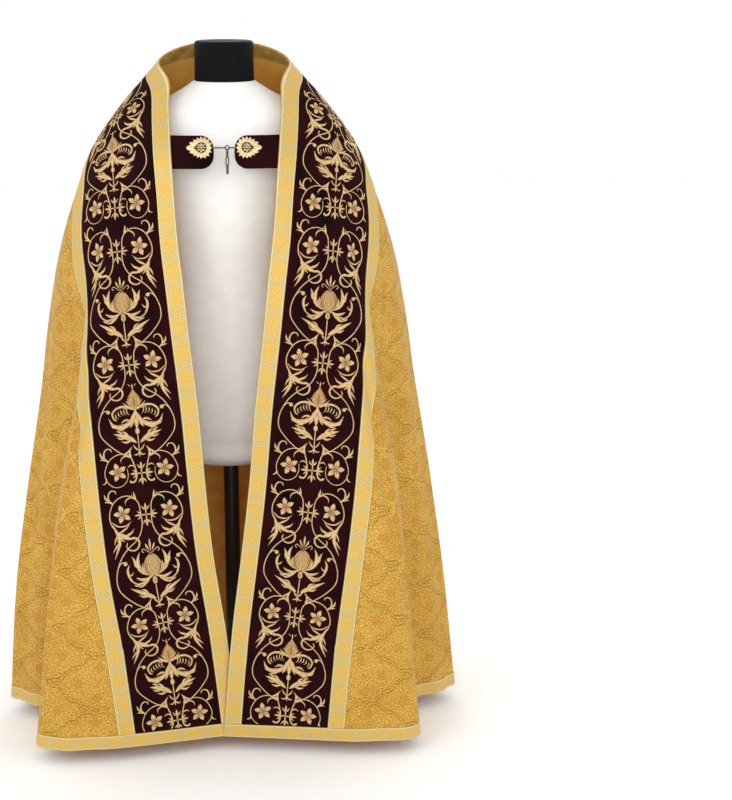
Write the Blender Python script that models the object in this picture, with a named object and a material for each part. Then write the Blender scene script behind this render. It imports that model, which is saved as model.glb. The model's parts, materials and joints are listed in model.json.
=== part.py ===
"""A cope with velvet orphreys, a hood and a hook clasp, standing on a limbless dress form.

Metres, +Z up, the front faces -Y. The cloth is one surface, cloth_point(side, u, z): u runs along a
level section from the centre back (0) over the side (5) to just past the centre front (10), and
side is +1 for x > 0 and -1 for x < 0. Each piece of cloth is a wall raised on that surface.
"""
import math

import bmesh
import bpy
import numpy as np

# ---------------------------------------------------------------- driving dimensions
HEM_Z = 0.030                # bottom of the cloth
GALLOON = 0.037              # width of the two long galloons of an orphrey
VELVET = 0.174               # width of the velvet between them
HEM_GALLOON = 0.029
BACK_GALLOON = 0.034         # the short galloon down the centre back
SEAM = 0.0003                # space between pieces that are sewn edge to edge
BROCADE_WALL = 0.0020
VELVET_WALL = 0.0024
GALLOON_WALL = 0.0028
LINING_WALL = 0.0010
LINING_DROP = 0.0008         # space between the orphrey and the lining inside the collar
SEAM_U = 3.4                 # where the brocade back is joined to the fronts
SEAM_GAP_U = 0.0045          # the same space as SEAM, along a section
HEM_SEAM_GAP_U = 0.0035
LAP = 0.009                  # how far the left front passes behind the right one
PAST_CENTRE_U = 10.0

# Level sections of the cloth: an oval above, and a share of the folded plan below
SECTION_COLUMNS = ("z", "side_x", "side_y", "back_y", "front_y", "squareness", "fold")
SECTIONS = (
    (1.450, 0.0920, 0.012, 0.078, -0.055, 2.00, 0.00),
    (1.400, 0.1310, 0.012, 0.115, -0.072, 2.00, 0.00),
    (1.320, 0.2005, 0.005, 0.158, -0.118, 2.10, 0.00),
    (1.229, 0.2670, 0.000, 0.192, -0.170, 2.20, 0.00),
    (1.122, 0.3110, 0.000, 0.209, -0.197, 2.35, 0.00),
    (1.030, 0.3400, 0.000, 0.214, -0.208, 2.50, 0.08),
    (0.880, 0.3700, 0.000, 0.218, -0.218, 2.60, 0.36),
    (0.730, 0.3920, 0.000, 0.221, -0.225, 2.70, 0.60),
    (0.510, 0.4270, 0.000, 0.225, -0.232, 2.80, 0.80),
    (0.240, 0.4635, 0.000, 0.229, -0.238, 2.90, 0.93),
    (0.000, 0.4885, 0.000, 0.232, -0.242, 3.00, 1.00),
)

# The folded plan at the hem, one row for each fold or panel, from centre back to past centre front
PLAN_COLUMNS = ("place", "x", "y")
PLAN = (
    ("centre back", 0.000, 0.232),
    ("back panel", 0.1850, 0.246),
    ("back fold", 0.3590, 0.262),
    ("back hollow", 0.3260, 0.118),
    ("lobe, rear", 0.4290, 0.064),
    ("lobe, tip", 0.4885, 0.000),
    ("lobe, front", 0.4260, -0.056),
    ("front hollow", 0.3345, -0.114),
    ("front fold", 0.3860, -0.262),
    ("front panel", 0.2690, -0.290),
    ("past the centre", -0.0615, -0.236),
)

# The long edge of the cope: the collar's rim, and then the edges of the two fronts
RIM_COLUMNS = ("u", "z")
RIM = ((0.0, 1.437), (2.2, 1.429), (3.6, 1.417), (5.0, 1.402))
FRONT_EDGE_COLUMNS = ("z", "left_x", "right_x")
FRONT_EDGE = (
    (1.378, 0.1245, 0.1245),
    (1.319, 0.1225, 0.1225),
    (1.229, 0.1125, 0.1125),
    (1.121, 0.1050, 0.1050),
    (1.020, 0.0920, 0.0910),
    (0.871, 0.0760, 0.0740),
    (0.737, 0.0600, 0.0600),
    (0.597, 0.0480, 0.0480),
    (0.423, 0.0290, 0.0270),
    (0.269, 0.0040, 0.0070),
    (0.212, -0.0020, 0.0010),
    (0.000, -0.0270, -0.0180),
)

# The hood: a velvet panel with round lower corners, hung below the orphrey
HOOD_HALF_WIDTH = 0.245
HOOD_BOTTOM_Z = 0.782
HOOD_CORNER = 0.090
HOOD_TOP_DROP = 0.0004
HOOD_GALLOON = 0.030
HOOD_LIFT = 0.0019           # space between the hood and the brocade under it
HOOD_WALL = 0.0024
HOOD_GALLOON_RISE = 0.0004   # how far the hood's galloon stands over its velvet
HOOD_STEPS = 21              # points along half of the hood's outline
HOOD_WIDTHS = 17
FRINGE_STRIP = 0.006
FRINGE_WALL = 0.0016
FRINGE_LENGTH = 0.038
FRINGE_STRANDS = 84
FRINGE_SPLAY = (0.42, 0.90)  # a strand's run outward and down
STRAND_HALF = 0.35           # half of a strand's width at its tip, of the width of its root

# The clasp: two velvet straps, two leaf plates, the hook's links and a chain that hangs free
STRAP_TOP_Z = 1.264
STRAP_BOTTOM_Z = 1.201
STRAP_CORNER = 0.026
STRAP_TUCK = 0.012
STRAP_WALL = 0.0022
STRAP_DROP = 0.0010          # space between a front's inner face and the strap behind it
STRAP_END_X = (-0.0235, 0.0175)
LEAF_LENGTH = 0.055
LEAF_HEIGHT = 0.042
LEAF_THICKNESS = 0.0026
LEAF_DOME = 0.62             # how much thinner a leaf is at its rim than at its middle
CLASP_Z = 1.2405
WIRE_RADIUS = 0.0008
WIRE_SIDES = 6
RING_STEPS = 14
LINK_LENGTH = 0.0195         # outside length of a link of the hanging chain
LINK_WIDTH = 0.0082
CHAIN_LINKS = 3
LINK_SPACE = 0.0004
CLASP_LINK_WIDTH = 0.0062
CLASP_LINK_TUCK = 0.0010     # how far the links at the clasp reach behind the ends of the leaves
RING_RADIUS = 0.0042
CHAIN_X = 0.0030

# The dress form
NECK_RADIUS = 0.0605
NECK_TOP_Z = 1.440
NECK_BASE_Z = 1.3750
FORM_CLEARANCE = 0.0062      # level distance from the cloth's inner face to the form's shoulders
FORM_COLUMNS = ("z", "half_width", "front_y", "back_y")
FORM = (
    (0.5600, 0.080, -0.060, 0.060),
    (0.5700, 0.120, -0.088, 0.088),
    (0.6200, 0.152, -0.106, 0.108),
    (0.7200, 0.166, -0.112, 0.116),
    (0.8600, 0.156, -0.112, 0.104),
    (0.9800, 0.146, -0.112, 0.096),
    (1.1000, 0.164, -0.126, 0.112),
    (1.2000, 0.184, -0.122, 0.126),
    (1.2600, 0.206, -0.108, 0.126),
    (1.3000, 0.230, -0.092, 0.118),
    (1.3200, 0.205, -0.082, 0.108),
    (1.3400, 0.140, -0.074, 0.094),
    (1.3600, 0.088, -0.066, 0.076),
    (1.3747, 0.062, -0.062, 0.062),
)
POLE_RADIUS = 0.016
BASE_RADIUS = 0.150
BASE_THICKNESS = 0.016


# ---------------------------------------------------------------- tables and curves
def column(columns, rows, name):
    """One named column of a table, as an array."""
    index = columns.index(name)
    return np.array([row[index] for row in rows], dtype=float)


def smooth_between(x, knots, values):
    """A smooth curve through the knots (rising), read at x."""
    knots = np.asarray(knots, dtype=float)
    values = np.asarray(values, dtype=float)
    slopes = np.gradient(values, knots)
    i = int(np.clip(np.searchsorted(knots, x) - 1, 0, len(knots) - 2))
    span = knots[i + 1] - knots[i]
    t = min(max((x - knots[i]) / span, 0.0), 1.0)
    start = (1 + 2 * t) * (1 - t) ** 2 * values[i] + t * (1 - t) ** 2 * span * slopes[i]
    end = t * t * (3 - 2 * t) * values[i + 1] + t * t * (t - 1) * span * slopes[i + 1]
    return start + end


def ease(x, low, high):
    """0 below low, 1 above high and smooth between them."""
    t = min(max((x - low) / (high - low), 0.0), 1.0)
    return t * t * (3 - 2 * t)


RISING = SECTIONS[::-1]
SECTION = {name: column(SECTION_COLUMNS, RISING, name) for name in SECTION_COLUMNS}
PLAN_XY = np.array([(row[1], row[2]) for row in PLAN])
HALF_TURNS = np.radians(np.linspace(0, 180, len(PLAN)))
sections_made = {}


def section(z):
    """The guide points of one level section, from centre back to past the centre front."""
    key = round(z, 6)
    if key in sections_made:
        return sections_made[key]
    at = {name: smooth_between(z, SECTION["z"], SECTION[name]) for name in SECTION_COLUMNS[1:]}
    power = 2 / at["squareness"]
    across = np.abs(np.sin(HALF_TURNS)) ** power
    along = np.abs(np.cos(HALF_TURNS)) ** power
    reach = np.where(HALF_TURNS < math.pi / 2, at["back_y"], -at["front_y"]) - at["side_y"]
    oval = np.column_stack((at["side_x"] * across,
                            at["side_y"] + np.sign(np.cos(HALF_TURNS)) * along * reach))
    plan = PLAN_XY * (at["side_x"] / PLAN_XY[5, 0], 1.0)
    depth = np.where(PLAN_XY[:, 1] > 0, at["back_y"] / PLAN_XY[0, 1], at["front_y"] / PLAN_XY[10, 1])
    plan[:, 1] *= depth
    sections_made[key] = (1 - at["fold"]) * oval + at["fold"] * plan
    return sections_made[key]


def cloth_point(side, u, z):
    """A point on the inner face of the cloth."""
    guides = section(z)
    i = int(min(max(math.floor(u), 0), len(guides) - 2))
    t = u - i
    before = guides[1] * (-1, 1) if i == 0 else guides[i - 1]
    after = 2 * guides[-1] - guides[-2] if i + 2 >= len(guides) else guides[i + 2]
    a, b = guides[i], guides[i + 1]
    x, y = 0.5 * (2 * a + (b - before) * t + (2 * before - 5 * a + 4 * b - after) * t ** 2
                  + (3 * a - before - 3 * b + after) * t ** 3)
    if side < 0:
        y += LAP * ease(u, 8.9, 9.7) * (1 - ease(z, 0.22, 0.50))
    return np.array((side * x, y, z))


def cloth_frame(side, u, z):
    """The cloth's point, its two slopes and its outward normal."""
    du, dz = 0.002, 0.0005
    point = cloth_point(side, u, z)
    along = (cloth_point(side, u + du, z) - cloth_point(side, u - du, z)) / (2 * du)
    up = (cloth_point(side, u, z + dz) - cloth_point(side, u, z - dz)) / (2 * dz)
    normal = np.cross(up, along) * side
    if u < du:
        normal[0] = 0.0
    return point, along, up, normal / np.linalg.norm(normal)


def raised(side, u, z, height):
    """A point at a height over the cloth's inner face, along its normal."""
    point, _, _, normal = cloth_frame(side, u, z)
    return point + normal * height


def u_at_x(side, x, z):
    """Where a section, followed from past the centre front, reaches a distance x from the centre."""
    low, high = 5.0, PAST_CENTRE_U
    for _ in range(40):
        middle = (low + high) / 2
        if side * cloth_point(side, middle, z)[0] > x:
            low = middle
        else:
            high = middle
    return (low + high) / 2


# ---------------------------------------------------------------- the long edge and the walk inward
WALK_STEP = 0.004
ORPHREY = 2 * GALLOON + VELVET + 3 * SEAM
WALK_LENGTH = ORPHREY + 2 * WALK_STEP
EDGE_SAMPLES = 90


class Orphrey:
    """The edge of one side, and paths that leave it squarely and run straight over the cloth."""

    def __init__(self, side):
        self.side = side
        name = "left_x" if side < 0 else "right_x"
        knots = list(RIM)
        xs = column(FRONT_EDGE_COLUMNS, FRONT_EDGE, name)
        for z, x in zip(column(FRONT_EDGE_COLUMNS, FRONT_EDGE, "z"), xs):
            knots.append((u_at_x(side, x, z), z))
        knots = np.array(knots)
        points = np.array([cloth_point(side, u, z) for u, z in knots])
        lengths = np.concatenate(([0], np.cumsum(np.linalg.norm(np.diff(points, axis=0), axis=1))))
        self.s = np.linspace(0, lengths[-1], EDGE_SAMPLES)
        edge = np.array([[smooth_between(s, lengths, knots[:, k]) for k in (0, 1)] for s in self.s])
        for k in (0, 1):
            inner = edge[1:-1, k].copy()
            for _ in range(3):
                inner = (np.concatenate(([edge[0, k]], inner[:-1])) + 2 * inner
                         + np.concatenate((inner[1:], [edge[-1, k]]))) / 4
            edge[1:-1, k] = inner
        points = np.array([cloth_point(side, u, z) for u, z in edge])
        self.length = np.linalg.norm(np.diff(points, axis=0), axis=1).sum()
        self.s = np.concatenate(([0], np.cumsum(np.linalg.norm(np.diff(points, axis=0), axis=1))))
        self.d = np.arange(0, WALK_LENGTH, WALK_STEP)
        tangents = np.gradient(points, self.s, axis=0)
        tangents[0] = (side, 0, 0)
        self.paths = np.array([self.walk(u, z, t) for (u, z), t in zip(edge, tangents)])
        self.paths[0, :, 0] = 0.0
        for _ in range(6):
            inner = (self.paths[:-2] + 2 * self.paths[1:-1] + self.paths[2:]) / 4
            inner[:, 0] = self.paths[1:-1, 0]
            self.paths[1:-1] = inner

    def walk(self, u, z, tangent):
        """(u, z) at each step of a straight path over the cloth, square to the edge."""
        path = [(u, z)]
        heading = None
        for _ in self.d[1:]:
            _, along, up, normal = cloth_frame(self.side, u, z)
            if heading is None:
                heading = np.cross(normal, tangent) * self.side
                heading = heading if heading[2] < 0 or u > 6 else -heading
                if u > 6 and heading[0] * self.side < 0:
                    heading = -heading
            heading = heading - normal * heading.dot(normal)
            heading /= np.linalg.norm(heading)
            du, dz = np.linalg.lstsq(np.column_stack((along, up)), heading * WALK_STEP, rcond=None)[0]
            u, z = max(u + du, 0.0), z + dz
            path.append((u, z))
        return path

    def at(self, s, d):
        """(u, z) at a length s along the edge and a distance d in from it."""
        i = int(np.clip(np.searchsorted(self.s, s) - 1, 0, len(self.s) - 2))
        t = (s - self.s[i]) / (self.s[i + 1] - self.s[i])
        path = (1 - t) * self.paths[i] + t * self.paths[i + 1]
        return np.array([np.interp(d, self.d, path[:, k]) for k in (0, 1)])

    def line(self, d):
        """The whole line at a distance d from the edge, as (u, z)."""
        return np.array([[np.interp(d, self.d, path[:, k]) for k in (0, 1)] for path in self.paths])

    def s_at_z(self, d, z):
        """The length at which the line at a distance d comes down to a height z."""
        line = self.line(d)
        below = int(np.argmax(line[:, 1] < z))
        high, low = line[below - 1, 1], line[below, 1]
        t = (high - z) / (high - low)
        return self.s[below - 1] + t * (self.s[below] - self.s[below - 1])


# ---------------------------------------------------------------- making objects
def material(name, colour, roughness, metallic=0.0):
    made = bpy.data.materials.new(name)
    made.use_nodes = True
    shader = made.node_tree.nodes["Principled BSDF"]
    shader.inputs["Base Color"].default_value = (*colour, 1.0)
    shader.inputs["Roughness"].default_value = roughness
    shader.inputs["Metallic"].default_value = metallic
    return made


def add_object(name, vertices, faces, finish, smooth=True):
    """A closed mesh with its faces turned outward."""
    mesh = bpy.data.meshes.new(name)
    mesh.from_pydata([tuple(v) for v in vertices], [], faces)
    work = bmesh.new()
    work.from_mesh(mesh)
    bmesh.ops.recalc_face_normals(work, faces=work.faces)
    work.to_mesh(mesh)
    work.free()
    if smooth:
        mesh.shade_smooth()
        mesh.set_sharp_from_angle(angle=math.radians(40))
    mesh.materials.append(finish)
    made = bpy.data.objects.new(name, mesh)
    bpy.context.scene.collection.objects.link(made)
    return made


def add_wall(name, inner, outer, finish):
    """A wall between two grids of points of the same size."""
    inner, outer = np.asarray(inner), np.asarray(outer)
    rows, cols = inner.shape[:2]
    count = rows * cols
    vertices = np.concatenate((inner.reshape(-1, 3), outer.reshape(-1, 3)))
    faces = []
    for r in range(rows - 1):
        for c in range(cols - 1):
            a, b = r * cols + c, r * cols + c + 1
            d, e = a + cols, b + cols
            faces.append((a, b, e, d))
            faces.append((a + count, d + count, e + count, b + count))
    border = list(range(cols - 1))
    border += [r * cols + cols - 1 for r in range(rows - 1)]
    border += [(rows - 1) * cols + c for c in range(cols - 1, 0, -1)]
    border += [r * cols for r in range(rows - 1, 0, -1)]
    for a, b in zip(border, border[1:] + border[:1]):
        faces.append((a, a + count, b + count, b))
    return add_object(name, vertices, faces, finish)


def add_cloth(name, grid, low, high, finish):
    """A wall of cloth over a grid of (side, u, z), between two heights over the inner face."""
    inner = [[raised(*place, low) for place in row] for row in grid]
    outer = [[raised(*place, high) for place in row] for row in grid]
    return add_wall(name, inner, outer, finish)


def add_turned(name, profile, finish, centre=(0.0, 0.0), sides=24):
    """A turned solid from (radius, z) pairs, closed at both ends."""
    angles = np.linspace(0, 2 * math.pi, sides, endpoint=False)
    vertices = [(centre[0] + r * math.cos(a), centre[1] + r * math.sin(a), z)
                for r, z in profile for a in angles]
    return add_rings(name, vertices, len(profile), sides, finish)


def add_rings(name, vertices, rings, sides, finish):
    """Closed rings joined one to the next, with flat ends."""
    faces = [tuple(range(sides)), tuple(range((rings - 1) * sides, rings * sides))]
    for r in range(rings - 1):
        for c in range(sides):
            n = (c + 1) % sides
            faces.append((r * sides + c, r * sides + n, (r + 1) * sides + n, (r + 1) * sides + c))
    return add_object(name, vertices, faces, finish)


def add_loop(name, route, radius, sides, finish):
    """A closed wire along a route of points that lie in one plane."""
    route = np.array(route)
    centre = route.mean(axis=0)
    across = np.cross(route[1] - route[0], route[2] - route[1])
    across /= np.linalg.norm(across)
    count = len(route)
    vertices, faces = [], []
    for i, point in enumerate(route):
        tangent = route[(i + 1) % count] - route[i - 1]
        outward = np.cross(tangent / np.linalg.norm(tangent), across)
        outward *= 1 if outward.dot(point - centre) > 0 else -1
        for k in range(sides):
            angle = 2 * math.pi * (k + 0.5) / sides
            vertices.append(point + radius * (math.cos(angle) * outward + math.sin(angle) * across))
    for i in range(count):
        for k in range(sides):
            a, b = i * sides + k, i * sides + (k + 1) % sides
            c, d = (b + sides) % (count * sides), (a + sides) % (count * sides)
            faces.append((a, b, c, d))
    return add_object(name, vertices, faces, finish)


# ---------------------------------------------------------------- the cloth
# Shares of an orphrey's length at which its pieces have points, closer round the neck
LENGTH_SHARES = np.concatenate(((0, 0.0113), np.linspace(0.02, 0.36, 18)[:-1], np.linspace(0.36, 1, 12)))


def orphrey_grid(orphrey, s_start, d_low, d_high, widths):
    """(side, u, z) over a strip of an orphrey, from s_start down to the hem galloon."""
    shares = [share for share in LENGTH_SHARES if share * orphrey.length > s_start * 1.2]
    distances = np.linspace(d_low, d_high, widths + 1)
    grid = [[(orphrey.side, *orphrey.at(s_start, d)) for d in distances]]
    for share in shares:
        row = []
        for d in distances:
            end = orphrey.s_at_z(d, HEM_Z + HEM_GALLOON + SEAM)
            row.append((orphrey.side, *orphrey.at(share * end, d)))
        grid.append(row)
    return grid


def add_orphrey(orphrey, label, finishes):
    """Velvet between two long galloons."""
    velvet_start = GALLOON + SEAM
    outer_start = velvet_start + VELVET + 2 * SEAM
    strips = (
        ("galloon_inner", SEAM / 2, 0.0, GALLOON, 1, GALLOON_WALL, "galloon"),
        ("orphrey_velvet", BACK_GALLOON / 2 + SEAM, velvet_start, velvet_start + VELVET, 5,
         VELVET_WALL, "velvet"),
        ("galloon_outer", SEAM / 2, outer_start, outer_start + GALLOON, 1, GALLOON_WALL, "galloon"),
    )
    for name, start, low, high, widths, wall, finish in strips:
        grid = orphrey_grid(orphrey, start, low, high, widths)
        add_cloth(f"{name}_{label}", grid, 0.0, wall, finishes[finish])


def add_centre_back_galloon(orphreys, finish):
    """The short galloon that covers the join of the two velvets."""
    low, high = GALLOON + SEAM, GALLOON + SEAM + VELVET
    grid = []
    for d in np.linspace(low, high, 7):
        row = []
        for side, share in ((-1, 1.0), (-1, 0.5), (1, 0.0), (1, 0.5), (1, 1.0)):
            u, z = orphreys[side].at(share * BACK_GALLOON / 2, d)
            row.append((side, u, z))
        grid.append(row)
    add_cloth("galloon_centre_back", grid, 0.0, GALLOON_WALL, finish)


def add_collar_inside(orphreys, finishes):
    """The facing under the rim and the lining below it, where they show inside the collar."""
    reach = LENGTH_SHARES[:12]
    for name, low, high, widths, finish in (
            ("collar_facing", 0.001, GALLOON, 1, "facing"),
            ("collar_lining", GALLOON + SEAM, GALLOON + SEAM + 0.6 * VELVET, 3, "lining")):
        grid = []
        for side, shares in ((-1, reach[:0:-1]), (1, reach)):
            for share in shares:
                row = []
                for d in np.linspace(low, high, widths + 1):
                    s = share * orphreys[side].s_at_z(d, HEM_Z + HEM_GALLOON)
                    row.append((side, *orphreys[side].at(s, d)))
                grid.append(row)
        add_cloth(name, grid, -LINING_DROP - LINING_WALL, -LINING_DROP, finishes[finish])


def add_brocade(orphreys, finish):
    """The back, from the orphrey down to the hem galloon, and the two fronts."""
    bottom = HEM_Z + HEM_GALLOON + SEAM
    inset = ORPHREY + SEAM
    front_seam_u = SEAM_U + SEAM_GAP_U
    back = []
    for side, label in ((-1, "left"), (1, "right")):
        end = orphreys[side].s_at_z(inset, bottom)
        line = [orphreys[side].at(share * end, inset) for share in LENGTH_SHARES]
        corner = line_at_u(line, front_seam_u + 0.03)
        outer = [corner] + [(u, z) for u, z in line if u > front_seam_u + 0.1]
        grid = [[(side, u, z) for u in np.linspace(front_seam_u, u_end, 14)] for u_end, z in outer]
        add_cloth(f"brocade_front_{label}", grid, 0.0, BROCADE_WALL, finish)

        falls = [(corner[1] - z) / (corner[1] - bottom) for _, z in outer]
        tops = [(u, z) for u, z in line if u < SEAM_U - 0.1] + [line_at_u(line, SEAM_U)]
        for u, top in (tops[:0:-1] if side < 0 else tops):
            back.append([(side, u, top + fall * (bottom - top)) for fall in falls])
    add_cloth("brocade_back", back, 0.0, BROCADE_WALL, finish)


def line_at_u(line, u):
    """Where a line of (u, z) points passes a value of u."""
    line = np.array(line)
    return u, float(np.interp(u, line[:, 0], line[:, 1]))


def add_hem_galloons(orphreys, finish):
    """The galloon round the hem, in the same lengths as the brocade above it."""
    spans = [("hem_galloon_back", [(-1, u) for u in np.linspace(SEAM_U, 0, 14)[:-1]]
              + [(1, u) for u in np.linspace(0, SEAM_U, 14)])]
    for side, label in ((-1, "left"), (1, "right")):
        end = orphreys[side].at(orphreys[side].s_at_z(0.0, HEM_Z), 0.0)[0]
        spans.append((f"hem_galloon_{label}", [(side, u) for u in np.linspace(SEAM_U + HEM_SEAM_GAP_U, end, 27)]))
    for name, places in spans:
        grid = []
        for side, u in places:
            row = []
            for z in (HEM_Z, HEM_Z + HEM_GALLOON):
                edge = orphreys[side].at(orphreys[side].s_at_z(0.0, z), 0.0)[0]
                row.append((side, min(u, edge), z))
            grid.append(row)
        add_cloth(name, grid, 0.0, GALLOON_WALL, finish)


# ---------------------------------------------------------------- the hood
arcs_made = {}


def u_at_arc(side, arc, z):
    """The place on a level section at an arc length from the centre back."""
    key = (side, round(z, 5))
    if key not in arcs_made:
        us = np.linspace(0, 7, 85)
        points = np.array([cloth_point(side, u, z) for u in us])
        steps = np.linalg.norm(np.diff(points, axis=0), axis=1)
        arcs_made[key] = (np.concatenate(([0], np.cumsum(steps))), us)
    return float(np.interp(arc, *arcs_made[key]))


def hood_place(lines, arc, down):
    """(side, u, z) at an arc from the centre back and a share of the way down the hood."""
    side = 1 if arc >= 0 else -1
    z_top = 1.20
    for _ in range(4):
        u = u_at_arc(side, abs(arc), z_top)
        z_top = float(np.interp(u, lines[side][:, 0], lines[side][:, 1])) - HOOD_TOP_DROP
    z = z_top + down * (HOOD_BOTTOM_Z - z_top)
    return side, u_at_arc(side, abs(arc), z), z


def hood_outline(offset, steps, height):
    """(arc, down) along the hood's sides and bottom, moved outward by an offset."""
    corner = HOOD_CORNER + offset
    straight = height - HOOD_CORNER
    flat = HOOD_HALF_WIDTH - HOOD_CORNER
    quarter = corner * math.pi / 2
    total = straight + quarter + flat
    half = []
    for share in np.linspace(0, 1, steps):
        along = share * total
        if along < straight:
            half.append((HOOD_HALF_WIDTH + offset, along))
        elif along < straight + quarter:
            angle = (along - straight) / corner
            half.append((flat + corner * math.cos(angle), straight + corner * math.sin(angle)))
        else:
            half.append((flat - (along - straight - quarter), height + offset))
    points = [(-x, y) for x, y in half] + [(x, y) for x, y in half[-2::-1]]
    return [(x, y / height) for x, y in points]


def add_hood(orphreys, finishes):
    """The velvet panel, its galloon and its fringe."""
    lines = {side: orphreys[side].line(ORPHREY + SEAM) for side in (-1, 1)}
    height = lines[1][0, 1] - HOOD_BOTTOM_Z
    low = BROCADE_WALL + HOOD_LIFT
    grid = []
    for arc, down in hood_outline(0.0, HOOD_STEPS, height)[:HOOD_STEPS]:
        grid.append([hood_place(lines, share * -arc, down) for share in np.linspace(-1, 1, HOOD_WIDTHS)])
        if down > 1 - 1e-9:
            break
    add_cloth("hood_velvet", grid, low, low + HOOD_WALL, finishes["velvet"])

    grid = []
    for inner, outer in zip(hood_outline(SEAM, HOOD_STEPS, height),
                            hood_outline(SEAM + HOOD_GALLOON, HOOD_STEPS, height)):
        grid.append([hood_place(lines, inner[0] + t * (outer[0] - inner[0]),
                                inner[1] + t * (outer[1] - inner[1])) for t in (0, 0.5, 1)])
    add_cloth("hood_galloon", grid, low, low + HOOD_WALL + HOOD_GALLOON_RISE, finishes["galloon"])
    add_fringe(lines, height, low, finishes["fringe"])


def add_fringe(lines, height, low, finish):
    """A narrow strip outside the galloon, with a strand from every second length of it."""
    cells = 2 * FRINGE_STRANDS - 1
    offset = HOOD_GALLOON + 2 * SEAM
    steps = cells // 2 + 2
    inner = resample(hood_outline(offset, steps * 2, height), cells + 1)
    outer = resample(hood_outline(offset + FRINGE_STRIP, steps * 2, height), cells + 1)
    vertices, faces = [], []
    for place_in, place_out in zip(inner, outer):
        for place in (place_in, place_out):
            spot = hood_place(lines, *place)
            vertices.append(raised(*spot, low))
            vertices.append(raised(*spot, low + FRINGE_WALL))
    for i in range(cells):
        a, b = 4 * i, 4 * i + 4
        faces += [(a, b, b + 1, a + 1), (a, a + 2, b + 2, b), (a + 1, b + 1, b + 3, a + 3)]
        if i % 2:
            faces.append((a + 2, a + 3, b + 3, b + 2))
            continue
        root = (a + 2, a + 3, b + 3, b + 2)
        middle = (np.array(inner[i]) + inner[i + 1]) / 2
        end = (np.array(outer[i]) + outer[i + 1]) / 2
        outward = (end - middle) * (1, height)
        outward /= np.linalg.norm(outward)
        direction = FRINGE_SPLAY[0] * outward + np.array((0.0, FRINGE_SPLAY[1]))
        direction /= np.linalg.norm(direction)
        tip = end + direction * (1, 1 / height) * FRINGE_LENGTH
        along = (np.array(outer[i + 1]) - outer[i]) * STRAND_HALF
        first = len(vertices)
        for place, lift in ((tip - along, 0), (tip - along, 1), (tip + along, 1), (tip + along, 0)):
            spot = hood_place(lines, *place)
            vertices.append(raised(*spot, low + 0.0001 + lift * FRINGE_WALL * 0.7))
        tips = (first, first + 1, first + 2, first + 3)
        for k in range(4):
            n = (k + 1) % 4
            faces.append((root[k], root[n], tips[n], tips[k]))
        faces.append(tips)
    ends = ((0, 1, 3, 2), tuple(4 * cells + k for k in (0, 2, 3, 1)))
    faces += ends
    add_object("hood_fringe", vertices, faces, finish)


def resample(points, count):
    """Points at even lengths along an outline."""
    points = np.array(points)
    lengths = np.concatenate(([0], np.cumsum(np.linalg.norm(np.diff(points, axis=0), axis=1))))
    even = np.linspace(0, lengths[-1], count)
    return [(np.interp(x, lengths, points[:, 0]), np.interp(x, lengths, points[:, 1])) for x in even]


# ---------------------------------------------------------------- the clasp
def clasp_place(x, z):
    """(side, u, z) on the cloth's surface carried on across the opening."""
    side = 1 if x >= 0 else -1
    return side, u_at_x(side, abs(x), z), z


STRAP_SHARES = (0, 0.08, 0.2, 0.4, 0.6, 0.8, 0.9, 0.96, 1)


def add_strap(orphrey, label, end_x, finish):
    """A velvet strap, tucked behind a front's edge, with a round free end."""
    side = orphrey.side
    middle = (STRAP_TOP_Z + STRAP_BOTTOM_Z) / 2
    half = (STRAP_TOP_Z - STRAP_BOTTOM_Z) / 2
    edge_u = orphrey.at(orphrey.s_at_z(0.0, middle), 0.0)[0]
    root_x = abs(cloth_point(side, edge_u, middle)[0]) + STRAP_TUCK
    free_x = abs(end_x)
    grid = []
    for share in STRAP_SHARES:
        x = root_x + share * (free_x - root_x)
        into = max(STRAP_CORNER - (x - free_x), 0)
        height = half - STRAP_CORNER + math.sqrt(max(STRAP_CORNER ** 2 - into ** 2, 0))
        grid.append([clasp_place(side * x, middle + level * height) for level in (-1, -0.5, 0, 0.5, 1)])
    add_cloth(f"clasp_strap_{label}", grid, -STRAP_DROP - STRAP_WALL, -STRAP_DROP, finish)


def add_leaf(side, label, tip_x, finish):
    """A pointed leaf plate with a scalloped edge and a domed face."""
    ring_count, sides = 3, 28
    centre_x = tip_x + side * LEAF_LENGTH * 0.5
    low = SEAM - STRAP_DROP
    vertices, faces = [], []
    for layer in (0, 1):
        for ring in range(ring_count, 0, -1):
            share = ring / ring_count
            dome = layer * LEAF_THICKNESS * (1.0 - LEAF_DOME * share ** 2)
            for k in range(sides):
                angle = 2 * math.pi * k / sides
                lobes = 1 - 0.07 * math.cos(7 * angle) ** 2
                pointed = 1 - 0.22 * abs(math.sin(angle)) * (1 - abs(math.sin(angle)))
                x = centre_x + 0.5 * LEAF_LENGTH * math.cos(angle) * share * lobes * pointed
                z = CLASP_Z + 0.5 * LEAF_HEIGHT * math.sin(angle) * share * lobes
                vertices.append(raised(*clasp_place(x, z), low + dome))
        vertices.append(raised(*clasp_place(centre_x, CLASP_Z), low + layer * LEAF_THICKNESS))
    per_layer = ring_count * sides + 1
    for layer in (0, 1):
        base = layer * per_layer
        for ring in range(ring_count - 1):
            for k in range(sides):
                n = (k + 1) % sides
                a, b = base + ring * sides + k, base + ring * sides + n
                faces.append((a, b, b + sides, a + sides))
        last = base + (ring_count - 1) * sides
        for k in range(sides):
            faces.append((last + k, last + (k + 1) % sides, base + per_layer - 1))
    for k in range(sides):
        n = (k + 1) % sides
        faces.append((k, n, n + per_layer, k + per_layer))
    add_object(f"clasp_leaf_{label}", vertices, faces, finish)


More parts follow.
